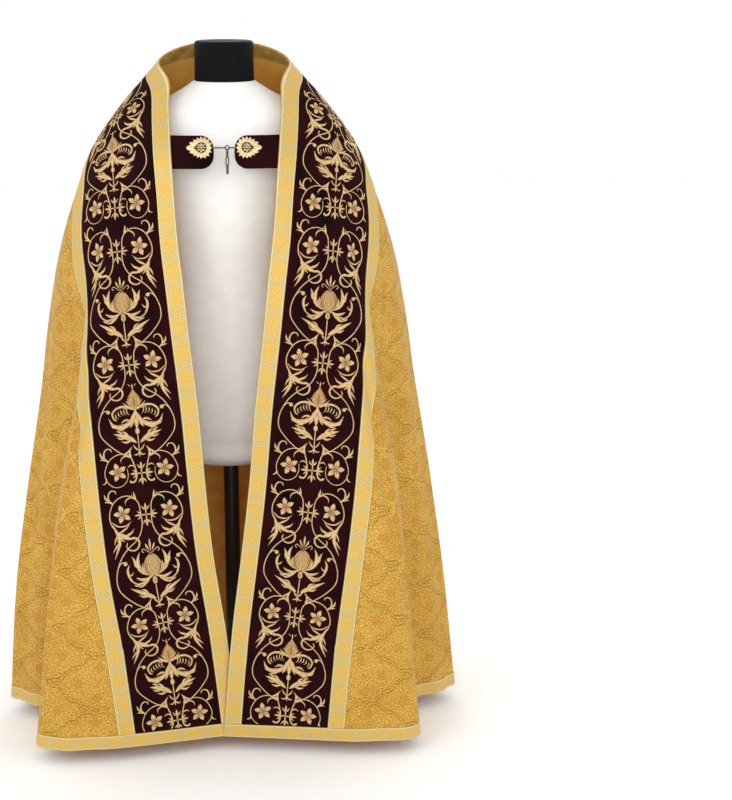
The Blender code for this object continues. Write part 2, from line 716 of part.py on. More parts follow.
def link_route(centre, length, width, long_axis, wide_axis, per_end=6):
    """The middle line of an oval link: two half circles joined by straight sides."""
    radius = width / 2
    half = length / 2 - radius
    route = []
    for end in (1, -1):
        for angle in np.linspace(-math.pi / 2, math.pi / 2, per_end):
            along = end * (half + radius * math.cos(angle))
            across = end * radius * math.sin(angle)
            route.append(np.array(centre) + along * long_axis + across * wide_axis)
    return route


def add_links(y, finish):
    """The small links between the plates, the ring at their middle and the chain that hangs."""
    x_axis, y_axis, z_axis = np.eye(3)
    reach = 2 * WIRE_RADIUS + LINK_SPACE
    ring_centre = np.array((CHAIN_X, y, CLASP_Z))
    ring = [ring_centre + RING_RADIUS * (math.cos(a) * x_axis + math.sin(a) * z_axis)
            for a in np.linspace(0, 2 * math.pi, RING_STEPS, endpoint=False)]
    add_loop("clasp_ring", ring, WIRE_RADIUS, WIRE_SIDES, finish)
    spans = (("clasp_link_left", STRAP_END_X[0] - CLASP_LINK_TUCK, CHAIN_X - RING_RADIUS + reach),
             ("clasp_hook", CHAIN_X + RING_RADIUS - reach, STRAP_END_X[1] + CLASP_LINK_TUCK))
    for name, start, end in spans:
        centre = ((start + end) / 2, y, CLASP_Z)
        route = link_route(centre, end - start, CLASP_LINK_WIDTH, x_axis, y_axis)
        add_loop(name, route, WIRE_RADIUS, WIRE_SIDES, finish)
    middle_length = LINK_LENGTH - 2 * WIRE_RADIUS
    first_top = CLASP_Z - RING_RADIUS + reach
    for i in range(CHAIN_LINKS):
        wide = y_axis if i % 2 == 0 else x_axis
        centre_z = first_top - middle_length / 2 - i * (middle_length - reach)
        route = link_route((CHAIN_X, y, centre_z), middle_length, LINK_WIDTH - 2 * WIRE_RADIUS,
                           z_axis, wide)
        add_loop(f"chain_link_{i + 1}", route, WIRE_RADIUS, WIRE_SIDES, finish)


# ---------------------------------------------------------------- the dress form
def add_form(finishes):
    """Torso, neck block, pole and base."""
    sides = 24
    zs = column(FORM_COLUMNS, FORM, "z")
    levels = sorted(set(np.round(np.concatenate((
        zs, (0.67, 0.79, 0.92, 1.04, 1.15, 1.28, 1.31, 1.33))), 4)))
    vertices = []
    for z in levels:
        width, front, back = (smooth_between(z, zs, column(FORM_COLUMNS, FORM, name))
                              for name in FORM_COLUMNS[1:])
        ring = np.array([cloth_point(1, u, z)[:2] for u in np.linspace(0, 9.6, 60)])
        cloth_angle = np.arctan2(ring[:, 0], ring[:, 1])
        cloth_reach = np.linalg.norm(ring, axis=1) - FORM_CLEARANCE
        for k in range(sides):
            angle = 2 * math.pi * k / sides
            x = width * math.sin(angle)
            y = math.cos(angle) * (back if math.cos(angle) > 0 else -front)
            reach = math.hypot(x, y)
            limit = np.interp(abs(math.atan2(x, y)), cloth_angle, cloth_reach)
            scale = min(1.0, limit / reach)
            vertices.append((x * scale, y * scale, z))
    add_rings("form_torso", vertices, len(levels), sides, finishes["jersey"])
    neck = ((NECK_RADIUS * 1.0, NECK_BASE_Z), (NECK_RADIUS * 0.985, 1.405), (NECK_RADIUS, 1.434),
            (NECK_RADIUS - 0.0025, NECK_TOP_Z - 0.0008), (NECK_RADIUS - 0.006, NECK_TOP_Z))
    add_turned("form_neck", neck, finishes["neck"])
    pole = ((POLE_RADIUS, BASE_THICKNESS + SEAM), (POLE_RADIUS, 0.56 - SEAM))
    add_turned("form_pole", pole, finishes["steel"], sides=20)
    base = ((BASE_RADIUS, 0.0), (BASE_RADIUS, BASE_THICKNESS * 0.6),
            (BASE_RADIUS - 0.004, BASE_THICKNESS * 0.9), (BASE_RADIUS - 0.012, BASE_THICKNESS))
    add_turned("form_base", base, finishes["steel"], sides=40)


def main():
    for old in list(bpy.data.objects):
        bpy.data.objects.remove(old, do_unlink=True)
    finishes = {
        "brocade": material("gold_brocade", (0.62, 0.36, 0.065), 0.55),
        "velvet": material("wine_velvet", (0.030, 0.003, 0.009), 0.90),
        "galloon": material("woven_galloon", (0.70, 0.47, 0.10), 0.50),
        "lining": material("satin_lining", (0.48, 0.22, 0.03), 0.40),
        "facing": material("woven_facing", (0.50, 0.29, 0.06), 0.60),
        "fringe": material("metal_thread_fringe", (0.55, 0.46, 0.25), 0.45),
        "leaf": material("pale_gold_plate", (0.78, 0.62, 0.36), 0.35, 1.0),
        "wire": material("nickel_wire", (0.50, 0.48, 0.44), 0.30, 1.0),
        "jersey": material("form_jersey", (0.78, 0.76, 0.72), 0.85),
        "neck": material("form_neck_cloth", (0.010, 0.010, 0.012), 0.70),
        "steel": material("form_stand_paint", (0.012, 0.012, 0.013), 0.45),
    }
    orphreys = {side: Orphrey(side) for side in (-1, 1)}
    for side, label in ((-1, "left"), (1, "right")):
        add_orphrey(orphreys[side], label, finishes)
    add_centre_back_galloon(orphreys, finishes["galloon"])
    add_collar_inside(orphreys, finishes)
    add_brocade(orphreys, finishes["brocade"])
    add_hem_galloons(orphreys, finishes["galloon"])
    add_hood(orphreys, finishes)
    for side, label in ((-1, "left"), (1, "right")):
        end_x = STRAP_END_X[0 if side < 0 else 1]
        add_strap(orphreys[side], label, end_x, finishes["velvet"])
        add_leaf(side, label, end_x, finishes["leaf"])
    add_links(cloth_point(1, u_at_x(1, 0.0, CLASP_Z), CLASP_Z)[1] - 0.0012, finishes["wire"])
    add_form(finishes)
    centre_on_origin()


def centre_on_origin():
    """Put the middle of the whole width and depth over the origin."""
    points = np.array([v.co for made in bpy.data.objects for v in made.data.vertices])
    middle = (points.min(axis=0) + points.max(axis=0)) / 2
    for made in bpy.data.objects:
        made.location = (-middle[0], -middle[1], 0.0)
    bpy.context.view_layer.update()


main()
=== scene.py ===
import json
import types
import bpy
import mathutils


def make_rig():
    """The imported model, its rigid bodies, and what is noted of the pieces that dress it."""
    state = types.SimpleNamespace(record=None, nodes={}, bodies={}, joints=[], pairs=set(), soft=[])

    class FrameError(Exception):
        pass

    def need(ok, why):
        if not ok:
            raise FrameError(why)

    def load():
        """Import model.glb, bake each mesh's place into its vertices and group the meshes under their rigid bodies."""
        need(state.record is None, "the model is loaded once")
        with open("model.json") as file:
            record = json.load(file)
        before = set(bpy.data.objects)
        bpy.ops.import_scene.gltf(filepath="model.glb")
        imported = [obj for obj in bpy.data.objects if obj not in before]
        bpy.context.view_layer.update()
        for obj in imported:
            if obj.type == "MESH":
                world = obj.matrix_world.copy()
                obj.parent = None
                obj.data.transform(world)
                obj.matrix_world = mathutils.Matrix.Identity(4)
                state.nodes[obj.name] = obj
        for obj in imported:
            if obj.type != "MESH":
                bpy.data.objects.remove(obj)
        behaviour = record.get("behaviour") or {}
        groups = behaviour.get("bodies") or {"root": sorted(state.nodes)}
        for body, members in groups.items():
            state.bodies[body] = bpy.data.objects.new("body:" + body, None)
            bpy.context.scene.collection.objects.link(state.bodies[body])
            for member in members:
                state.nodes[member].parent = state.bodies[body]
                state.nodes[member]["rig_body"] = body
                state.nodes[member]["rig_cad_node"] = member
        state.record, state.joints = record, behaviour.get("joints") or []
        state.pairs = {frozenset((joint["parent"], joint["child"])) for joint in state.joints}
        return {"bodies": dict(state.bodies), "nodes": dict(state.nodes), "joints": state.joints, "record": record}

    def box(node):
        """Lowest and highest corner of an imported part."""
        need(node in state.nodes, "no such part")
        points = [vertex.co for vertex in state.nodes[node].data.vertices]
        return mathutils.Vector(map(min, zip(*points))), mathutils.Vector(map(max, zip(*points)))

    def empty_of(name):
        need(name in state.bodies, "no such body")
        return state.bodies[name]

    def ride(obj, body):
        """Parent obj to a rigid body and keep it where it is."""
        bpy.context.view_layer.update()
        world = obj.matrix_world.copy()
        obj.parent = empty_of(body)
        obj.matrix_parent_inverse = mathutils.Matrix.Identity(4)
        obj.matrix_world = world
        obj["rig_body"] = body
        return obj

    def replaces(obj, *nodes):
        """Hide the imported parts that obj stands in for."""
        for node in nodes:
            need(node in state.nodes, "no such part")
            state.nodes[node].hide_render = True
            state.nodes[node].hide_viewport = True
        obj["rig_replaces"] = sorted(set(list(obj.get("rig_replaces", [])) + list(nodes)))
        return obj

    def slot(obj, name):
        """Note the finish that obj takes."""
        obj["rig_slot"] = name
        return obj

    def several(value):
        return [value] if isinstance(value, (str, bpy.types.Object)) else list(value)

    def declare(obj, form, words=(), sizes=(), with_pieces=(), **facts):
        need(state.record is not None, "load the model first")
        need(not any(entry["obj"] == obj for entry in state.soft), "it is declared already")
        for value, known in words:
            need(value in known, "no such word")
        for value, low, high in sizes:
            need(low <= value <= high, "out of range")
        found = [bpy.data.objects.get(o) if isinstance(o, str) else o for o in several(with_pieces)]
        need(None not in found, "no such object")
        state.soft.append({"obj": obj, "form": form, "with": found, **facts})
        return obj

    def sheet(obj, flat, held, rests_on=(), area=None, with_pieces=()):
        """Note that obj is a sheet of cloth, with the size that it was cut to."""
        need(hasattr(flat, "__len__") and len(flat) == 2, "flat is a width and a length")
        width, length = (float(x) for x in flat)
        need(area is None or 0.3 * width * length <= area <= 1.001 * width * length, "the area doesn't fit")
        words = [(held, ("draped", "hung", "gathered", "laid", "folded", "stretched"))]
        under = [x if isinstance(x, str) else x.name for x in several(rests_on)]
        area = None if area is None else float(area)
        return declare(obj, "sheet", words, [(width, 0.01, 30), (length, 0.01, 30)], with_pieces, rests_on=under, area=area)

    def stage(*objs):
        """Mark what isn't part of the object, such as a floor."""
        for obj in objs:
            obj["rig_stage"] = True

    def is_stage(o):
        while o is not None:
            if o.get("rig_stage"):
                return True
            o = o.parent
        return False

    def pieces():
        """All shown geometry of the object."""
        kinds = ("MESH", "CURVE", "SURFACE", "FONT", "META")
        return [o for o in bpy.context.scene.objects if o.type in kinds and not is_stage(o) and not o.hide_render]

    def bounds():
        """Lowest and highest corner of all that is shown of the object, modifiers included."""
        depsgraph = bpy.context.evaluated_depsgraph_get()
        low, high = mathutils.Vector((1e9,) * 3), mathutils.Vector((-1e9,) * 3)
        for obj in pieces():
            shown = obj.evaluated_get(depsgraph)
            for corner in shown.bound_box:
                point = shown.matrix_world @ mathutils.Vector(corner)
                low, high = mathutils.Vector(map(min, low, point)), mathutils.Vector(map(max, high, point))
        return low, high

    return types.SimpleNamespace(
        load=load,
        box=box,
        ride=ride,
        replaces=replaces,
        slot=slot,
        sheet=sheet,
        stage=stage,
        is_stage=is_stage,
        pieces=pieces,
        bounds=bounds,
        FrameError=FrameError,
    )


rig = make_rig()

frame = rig.load()

import json
import math
import bmesh
import bpy
import numpy as np

cadBox = [[float(v) for v in corner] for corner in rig.bounds()]
standMiddle = np.mean(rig.box("form_base"), axis=0) * (1, 1, 0)

# The cloth hangs as one surface. u runs along a level section from the centre back (0) over the side (5)
# to just past the centre front (10), z is the height in metres and side is +1 or -1 in x.
clothForm = {
    # z, side x, side y, back y, front y, squareness, share of the folded plan
    "sections": ((1.450, 0.0920, 0.012, 0.078, -0.055, 2.00, 0.00),
                 (1.400, 0.1310, 0.012, 0.115, -0.072, 2.00, 0.00),
                 (1.320, 0.2005, 0.005, 0.158, -0.118, 2.10, 0.00),
                 (1.229, 0.2670, 0.000, 0.192, -0.170, 2.20, 0.00),
                 (1.122, 0.3110, 0.000, 0.209, -0.197, 2.35, 0.00),
                 (1.030, 0.3400, 0.000, 0.214, -0.208, 2.50, 0.08),
                 (0.880, 0.3700, 0.000, 0.218, -0.218, 2.60, 0.36),
                 (0.730, 0.3920, 0.000, 0.221, -0.225, 2.70, 0.60),
                 (0.510, 0.4270, 0.000, 0.225, -0.232, 2.80, 0.80),
                 (0.240, 0.4635, 0.000, 0.229, -0.238, 2.90, 0.93),
                 (0.000, 0.4885, 0.000, 0.232, -0.242, 3.00, 1.00)),
    # the folds at the hem, from the centre back to past the centre front
    "hemPlan": ((0.0000, 0.232), (0.1850, 0.246), (0.3590, 0.262), (0.3260, 0.118),
                (0.4290, 0.064), (0.4885, 0.000), (0.4260, -0.056), (0.3345, -0.114),
                (0.3860, -0.262), (0.2690, -0.290), (-0.0615, -0.236)),
    "frontFoldX": {-1: 0.4010, 1: 0.3840},
    "lap": 0.009,                     # the left front passes behind the right one
    "hemZ": 0.030, "hemGalloon": 0.029, "galloon": 0.0355, "velvet": 0.178, "backGalloon": 0.034,
    "seam": 0.0003, "seamU": 3.4, "seamGapU": 0.0012,
    "brocadeWall": 0.0020, "velvetWall": 0.0024, "galloonWall": 0.0028,
    "liningWall": 0.0010, "liningDrop": 0.0008,
    "rim": ((0.0, 1.437), (2.2, 1.429), (3.6, 1.417), (5.0, 1.402)),
    # z, x of the left and of the right front's edge
    "frontEdge": ((1.378, 0.1115, 0.1155), (1.319, 0.1110, 0.1130), (1.229, 0.1065, 0.1035),
                  (1.121, 0.1010, 0.0950), (1.020, 0.0920, 0.0830), (0.871, 0.0780, 0.0665),
                  (0.737, 0.0640, 0.0500), (0.597, 0.0540, 0.0380), (0.423, 0.0390, 0.0170),
                  (0.269, 0.0175, -0.0035), (0.212, 0.0110, -0.0095), (0.000, -0.0110, -0.0280)),
}

# Soft troughs (-) and ridges (+) laid into the cloth:
# side, u and z at the top, u and z at the bottom, half width in mm, depth in mm, bow in u
creases = (
    (1, 4.55, 1.10, 4.62, 0.03, 22, -7, 0.06), (1, 5.35, 1.02, 5.30, 0.03, 20, -6, -0.05),
    (1, 4.95, 0.80, 5.02, 0.03, 16, 5, 0.03), (1, 6.30, 1.05, 6.15, 0.03, 18, -5, 0.05),
    (-1, 4.50, 1.06, 4.66, 0.03, 21, -7, -0.05), (-1, 5.30, 1.08, 5.38, 0.03, 22, -6, 0.06),
    (-1, 5.00, 0.74, 4.96, 0.03, 15, 5, 0.03), (-1, 6.22, 0.98, 6.20, 0.03, 18, -5, -0.05),
    (1, 8.05, 1.02, 8.12, 0.10, 9, -4, 0.05), (-1, 8.02, 0.96, 8.13, 0.06, 9, -4, 0.04),
    (1, 7.62, 0.92, 7.70, 0.03, 16, 4, 0.02), (-1, 7.66, 0.86, 7.66, 0.03, 16, 4, -0.02),
    (-1, 7.30, 1.04, 7.96, 0.03, 25, 10, 0.0), (-1, 7.02, 1.04, 7.64, 0.03, 13, -8, 0.0),
    (1, 7.30, 1.04, 7.92, 0.22, 25, 10, 0.0), (1, 7.02, 1.04, 7.60, 0.22, 13, -8, 0.0),
    (1, 7.20, 1.16, 7.72, 0.92, 14, -3, 0.05), (-1, 7.22, 1.14, 7.76, 0.88, 13, -3, 0.06),
    (1, 0.55, 0.70, 0.70, 0.03, 32, -8, 0.03), (-1, 0.60, 0.66, 0.66, 0.03, 34, -8, -0.03),
    (1, 1.30, 0.66, 1.42, 0.03, 30, 5, 0.04), (-1, 1.32, 0.70, 1.38, 0.03, 28, 6, 0.03),
    (1, 2.42, 0.92, 2.36, 0.03, 12, -8, 0.0), (-1, 2.42, 0.90, 2.36, 0.03, 12, -8, 0.0),
    (1, 1.85, 0.74, 1.72, 0.03, 18, -6, 0.03), (-1, 1.80, 0.72, 1.75, 0.03, 20, -5, -0.04),
    (1, 2.55, 0.98, 2.45, 0.03, 18, -5, 0.05), (-1, 2.50, 0.95, 2.52, 0.03, 17, -5, 0.04),
    (1, 3.55, 1.18, 3.60, 0.40, 18, -4, 0.04), (-1, 3.60, 1.16, 3.50, 0.35, 18, -4, -0.04),
    (1, 4.10, 1.26, 4.40, 1.00, 17, 3, 0.05), (-1, 4.05, 1.25, 4.42, 0.98, 16, 3, 0.05),
    (1, 5.60, 1.24, 5.90, 0.96, 17, 3, 0.04), (-1, 5.66, 1.22, 5.84, 0.94, 17, 3, 0.04),
    (1, 8.80, 0.60, 8.86, 0.03, 26, -3, 0.02), (-1, 8.74, 0.56, 8.84, 0.03, 26, -3, 0.02),
)

uStep, zStep, arcStep = 0.01, 0.002, 0.001
uValues = np.arange(0, 10 + uStep / 2, uStep)
zValues = np.arange(0, 1.452, zStep)
# points along or down each piece, and across it
grid = {"edge": 240, "paths": 66, "strip": 350, "galloon": 4, "velvet": 34, "centreBack": 90,
        "front": (200, 104), "back": (175, 78), "line": 700, "hem": (240, 3), "hemBack": 111,
        "collar": (150, 24), "hood": (140, 78), "hoodGalloon": 210, "fringe": 400, "ring": 160}


def smoothCurve(x, knots, values):
    knots, values, x = (np.asarray(a, dtype=float) for a in (knots, values, x))
    slopes = np.gradient(values, knots)
    i = np.clip(np.searchsorted(knots, x) - 1, 0, len(knots) - 2)
    span = knots[i + 1] - knots[i]
    t = np.clip((x - knots[i]) / span, 0, 1)
    return ((1 + 2 * t) * (1 - t) ** 2 * values[i] + t * (1 - t) ** 2 * span * slopes[i]
            + t * t * (3 - 2 * t) * values[i + 1] + t * t * (t - 1) * span * slopes[i + 1])


def ease(x, low, high):
    t = np.clip((x - low) / (high - low), 0, 1)
    return t * t * (3 - 2 * t)


def spline(before, a, b, after, t):
    # from a to b, bent by the points before and after them
    return 0.5 * (2 * a + (b - before) * t + (2 * before - 5 * a + 4 * b - after) * t ** 2
                  + (3 * a - before - 3 * b + after) * t ** 3)


def runningLength(points, axis=0):
    steps = np.linalg.norm(np.diff(points, axis=axis), axis=-1)
    start = np.zeros_like(np.take(steps, [0], axis=axis))
    return np.concatenate((start, np.cumsum(steps, axis=axis)), axis=axis)


def soften(rows, times):
    for _ in range(times):
        rows[1:-1] = (rows[:-2] + 2 * rows[1:-1] + rows[2:]) / 4


def sectionGuides(zs, side):
    rows = np.array(clothForm["sections"])[::-1]
    sideX, sideY, backY, frontY, squareness, fold = (
        smoothCurve(zs, rows[:, 0], rows[:, k])[:, None] for k in range(1, 7))
    turns = np.radians(np.linspace(0, 180, 11))[None, :]
    across = np.abs(np.sin(turns)) ** (2 / squareness)
    along = np.abs(np.cos(turns)) ** (2 / squareness)
    reach = np.where(turns < math.pi / 2, backY, -frontY) - sideY
    oval = np.stack((sideX * across, sideY + np.sign(np.cos(turns)) * along * reach), axis=-1)
    plan = np.array(clothForm["hemPlan"])
    plan[8, 0] = clothForm["frontFoldX"][side]
    planX, planY = plan[None, :, 0] * sideX / plan[5, 0], plan[None, :, 1]
    planY = planY * np.where(planY > 0, backY / plan[0, 1], frontY / plan[10, 1])
    return (1 - fold)[..., None] * oval + fold[..., None] * np.stack((planX, planY), axis=-1)


def unit(vectors):
    return vectors / np.maximum(np.linalg.norm(vectors, axis=-1, keepdims=True), 1e-12)


def outwardNormals(points, side):
    along = np.gradient(points, axis=1)
    up = np.gradient(points, axis=0)
    normals = np.cross(up, along) * side
    normals[:, 0, 0] = 0.0
    return unit(normals)


def creaseDepths(side, metresPerU):
    depths = np.zeros((len(zValues), len(uValues)))
    for rowSide, uTop, zTop, uLow, zLow, width, depth, bow in creases:
        if rowSide != side:
            continue
        rows = (zValues < zTop) & (zValues > zLow - 0.03)
        t = ((zTop - zValues[rows]) / (zTop - zLow))[:, None]
        middle = uTop + (uLow - uTop) * t + bow * np.sin(math.pi * t)
        strength = ease(t, 0, 0.35) * (1 if zLow < 0.05 else 1 - ease(t, 0.65, 1.0))
        strength = strength * (1 + 0.25 * np.sin(9 * t + 3 * uTop))
        away = (uValues[None, :] - middle) * metresPerU[rows] / (width / 1000)
        shape = np.exp(-away ** 2) - 0.3 * np.exp(-((np.abs(away) - 2.1) / 1.1) ** 2)
        depths[rows] += depth / 1000 * strength * shape
    lowShare = ease(1.2 - zValues, 0, 0.8)[:, None]
    phase = 1.7 * side
    zs = zValues[:, None]
    return depths + 0.0011 * lowShare * (np.sin(3.1 * uValues + phase) * np.sin(7 * zs)
                                         + np.sin(7.3 * uValues - phase) * np.sin(4 * zs + 1))


def hangCloth(side):
    guides = sectionGuides(zValues, side)
    guides = np.concatenate((guides[:, 1:2] * (-1, 1), guides, 2 * guides[:, -1:] - guides[:, -2:-1]), axis=1)
    i = np.minimum(np.floor(uValues).astype(int), 9)
    points = np.empty((len(zValues), len(uValues), 3))
    points[..., :2] = spline(*(guides[:, i + k] for k in range(4)), (uValues - i)[None, :, None]) * (side, 1)
    points[..., 2] = zValues[:, None]
    if side < 0:
        points[..., 1] += (clothForm["lap"] * ease(uValues, 8.9, 9.7)[None, :]
                           * (1 - ease(zValues, 0.22, 0.50))[:, None])
    arcs, falls = runningLength(points, 1), runningLength(points, 0)
    metresPerU = np.gradient(arcs, uStep, axis=1)
    points += outwardNormals(points, side) * creaseDepths(side, metresPerU)[..., None]
    uOfArc = np.array([np.interp(np.arange(0, 0.60, arcStep), row, uValues) for row in arcs])
    return {"points": points, "normals": outwardNormals(points, side), "arcs": arcs, "falls": falls,
            "uOfArc": uOfArc, "perU": np.gradient(points, uStep, axis=1),
            "perZ": np.gradient(points, zStep, axis=0)}


def readGrid(table, u, z, step=uStep):
    u, z = np.broadcast_arrays(np.asarray(u, dtype=float), np.asarray(z, dtype=float))
    fu = np.clip(u / step, 0, table.shape[1] - 1.001)
    fz = np.clip(z / zStep, 0, table.shape[0] - 1.001)
    iu, iz = fu.astype(int), fz.astype(int)
    tu, tz = fu - iu, fz - iz
    if table.ndim == 3:
        tu, tz = tu[..., None], tz[..., None]
    low = table[iz, iu] * (1 - tu) + table[iz, iu + 1] * tu
    high = table[iz + 1, iu] * (1 - tu) + table[iz + 1, iu + 1] * tu
    return low * (1 - tz) + high * tz


cloth = {side: hangCloth(side) for side in (-1, 1)}
print("cope: cloth surface hung")


def readCloth(key, side, u, z, step=uStep):
    # one of the cloth's tables at a place; side may be an array of -1 and 1
    side, u, z = np.broadcast_arrays(side, u, z)
    read = np.empty(u.shape + cloth[1][key].shape[2:])
    for one in (-1, 1):
        here = side == one
        if here.any():
            read[here] = readGrid(cloth[one][key], u[here], z[here], step)
    return read


def raised(side, u, z, height):
    # points at a height over the cloth's inner face
    normals = unit(readCloth("normals", side, u, z))
    return readCloth("points", side, u, z) + normals * np.asarray(height)[..., None] + standMiddle


def uAtX(side, x, z):
    us = uValues[500:]
    xs = side * readGrid(cloth[side]["points"], us, np.full(len(us), z))[:, 0]
    i = np.nonzero(xs > x)[0][-1]
    return float(us[-1]) if i == len(us) - 1 else float(us[i] + (xs[i] - x) / (xs[i] - xs[i + 1]) * uStep)


class EdgePaths:
    # the long edge of one side, and paths that leave it squarely and run straight over the cloth
    step = 0.004

    def __init__(self, side):
        self.side = side
        knots = np.array([*clothForm["rim"], *((uAtX(side, left if side < 0 else right, z), z)
                                               for z, left, right in clothForm["frontEdge"])])
        lengths = runningLength(raised(side, *knots.T, 0.0))
        ss = np.linspace(0, lengths[-1], grid["edge"])
        edge = np.stack([smoothCurve(ss, lengths, knots[:, k]) for k in (0, 1)], axis=1)
        soften(edge, 21)
        points = raised(side, *edge.T, 0.0)
        self.s = runningLength(points)
        self.length = self.s[-1]
        tangents = np.gradient(points, self.s, axis=0)
        tangents[0] = (side, 0, 0)
        self.paths = self.walk(edge, tangents)

    def walk(self, edge, tangents):
        here = cloth[self.side]
        u, z = edge[:, 0].copy(), edge[:, 1].copy()
        normals = unit(readGrid(here["normals"], u, z))
        heading = np.cross(normals, tangents) * self.side
        heading[(heading[:, 2] >= 0) & (u <= 6)] *= -1
        heading[(u > 6) & (heading[:, 0] * self.side < 0)] *= -1
        paths = [np.stack((u, z), axis=1)]
        for _ in range(grid["paths"]):
            normals = unit(readGrid(here["normals"], u, z))
            perU, perZ = readGrid(here["perU"], u, z), readGrid(here["perZ"], u, z)
            heading = unit(heading - normals * (heading * normals).sum(axis=1)[:, None])
            go = heading * self.step
            uu, zz, uz = (perU * perU).sum(1), (perZ * perZ).sum(1), (perU * perZ).sum(1)
            gu, gz = (perU * go).sum(1), (perZ * go).sum(1)
            det = uu * zz - uz * uz
            u = np.maximum(u + (gu * zz - gz * uz) / det, 0)
            z = z + (gz * uu - gu * uz) / det
            paths.append(np.stack((u, z), axis=1))
        paths = np.stack(paths, axis=1)
        paths[0, :, 0] = 0.0
        soften(paths[:, 1:], 42)
        return paths

    def at(self, s, d):
        s, d = np.broadcast_arrays(np.asarray(s, dtype=float), np.asarray(d, dtype=float))
        i = np.clip(np.searchsorted(self.s, s) - 1, 0, len(self.s) - 2)
        t = ((s - self.s[i]) / (self.s[i + 1] - self.s[i]))[..., None]
        j = np.clip((d / self.step).astype(int), 0, self.paths.shape[1] - 2)
        w = (d / self.step - j)[..., None]
        p = self.paths
        near, far = (p[row, j] * (1 - w) + p[row, j + 1] * w for row in (i, i + 1))
        read = (1 - t) * near + t * far
        return read[..., 0], read[..., 1]

    def sAtZ(self, d, z):
        # the length at which the line at a distance d comes down to a height z
        zs = self.at(self.s, d)[1]
        below = int(np.argmax(zs < z))
        t = (zs[below - 1] - z) / (zs[below - 1] - zs[below])
        return self.s[below - 1] + t * (self.s[below] - self.s[below - 1])


edges = {side: EdgePaths(side) for side in (-1, 1)}
velvetStart = clothForm["galloon"] + clothForm["seam"]
velvetMiddle = velvetStart + clothForm["velvet"] / 2
outerStart = velvetStart + clothForm["velvet"] + 2 * clothForm["seam"]
brocadeLine = 2 * clothForm["galloon"] + clothForm["velvet"] + 4 * clothForm["seam"]
clothBottom = clothForm["hemZ"] + clothForm["hemGalloon"] + clothForm["seam"]
print("cope: orphrey edges laid", round(edges[1].length, 3))


# Colours and nodes
def linear(hexColour):
    channels = [int(hexColour[k:k + 2], 16) / 255 for k in (1, 3, 5)]
    return (*[c / 12.92 if c <= 0.04045 else ((c + 0.055) / 1.055) ** 2.4 for c in channels], 1.0)


def addNode(tree, kind, inputs=(), **settings):
    # a kind may carry its operation, as in "Math SINE"; inputs go in order, or by socket
    kind, *operation = kind.split()
    added = tree.nodes.new("ShaderNode" + kind)
    if operation:
        added.operation = operation[0]
    for name, value in settings.items():
        setattr(added, name, value)
    for socket, value in (inputs.items() if isinstance(inputs, dict) else enumerate(inputs)):
        if isinstance(value, bpy.types.Node):
            value = next(out for out in value.outputs if out.enabled)
        if isinstance(value, bpy.types.NodeSocket):
            tree.links.new(value, added.inputs[socket])
        else:
            added.inputs[socket].default_value = value
    return added


def chain(tree, value, *steps):
    # takes a value through nodes in turn; each step is a kind and its further inputs
    for kind, *others in steps:
        value = addNode(tree, kind, (value, *others))
    return value


def startMaterial(name, look):
    material = bpy.data.materials.new(name)
    material.use_nodes = True
    tree = material.node_tree
    for socket, value in look.items():
        tree.nodes["Principled BSDF"].inputs[socket].default_value = value
    return material, tree


def millimetres(tree):
    # the cloth's own flat coordinates, in mm across and along
    flat = chain(tree, addNode(tree, "UVMap", uv_map="flat"), ("VectorMath MULTIPLY", (1000, 1000, 1000)))
    return flat, addNode(tree, "SeparateXYZ", (flat,)).outputs


def crossedWaves(tree, xy, periodMm):
    # the waves across and along make a net of small lozenges
    waves = [chain(tree, way, ("Math MULTIPLY", 2 * math.pi / periodMm), ("Math SINE",)) for way in xy[:2]]
    return addNode(tree, "Math MULTIPLY", waves)


def layColours(tree, colour, layers):
    # each layer is a mask, its strength and its colour
    for mask, strength, tone in layers:
        share = addNode(tree, "Math MULTIPLY", (mask, strength))
        colour = addNode(tree, "Mix", {0: share, 6: colour, 7: linear(tone)}, data_type="RGBA")
    return colour


def finishMaterial(material, colour, height, bumpMm):
    tree = material.node_tree
    shader = tree.nodes["Principled BSDF"].inputs
    tree.links.new(next(out for out in colour.outputs if out.enabled), shader["Base Color"])
    bump = addNode(tree, "Bump", {"Height": height, "Distance": bumpMm / 1000, "Strength": 1.0})
    tree.links.new(bump.outputs[0], shader["Normal"])
    return material


def finishTwoTone(material, share, dark, light, height, bumpMm):
    colour = addNode(material.node_tree, "Mix", {0: share, 6: linear(dark), 7: linear(light)}, data_type="RGBA")
    return finishMaterial(material, colour, height, bumpMm)


brocadeLook = {"repeatMm": (117, 58), "span": 50.0, "lobe": 0.13, "lines": ((0.0, 1.0), (6.5, 0.7)),
               "speckle": 2.8, "ground": "#BA8B2C", "groundDark": "#946512", "paintedGlint": "#EDC868",
               "drawn": "#8C5C14", "figure": "#BA7E22", "figureEdge": "#8A5A1A",
               # place in a cell, size and petals of each flower
               "flowers": (((39, 0, 0), 12.0, 6.0), ((0, 33, 0), 11.5, 5.0), ((0, 0, 0), 5.0, 4.0))}


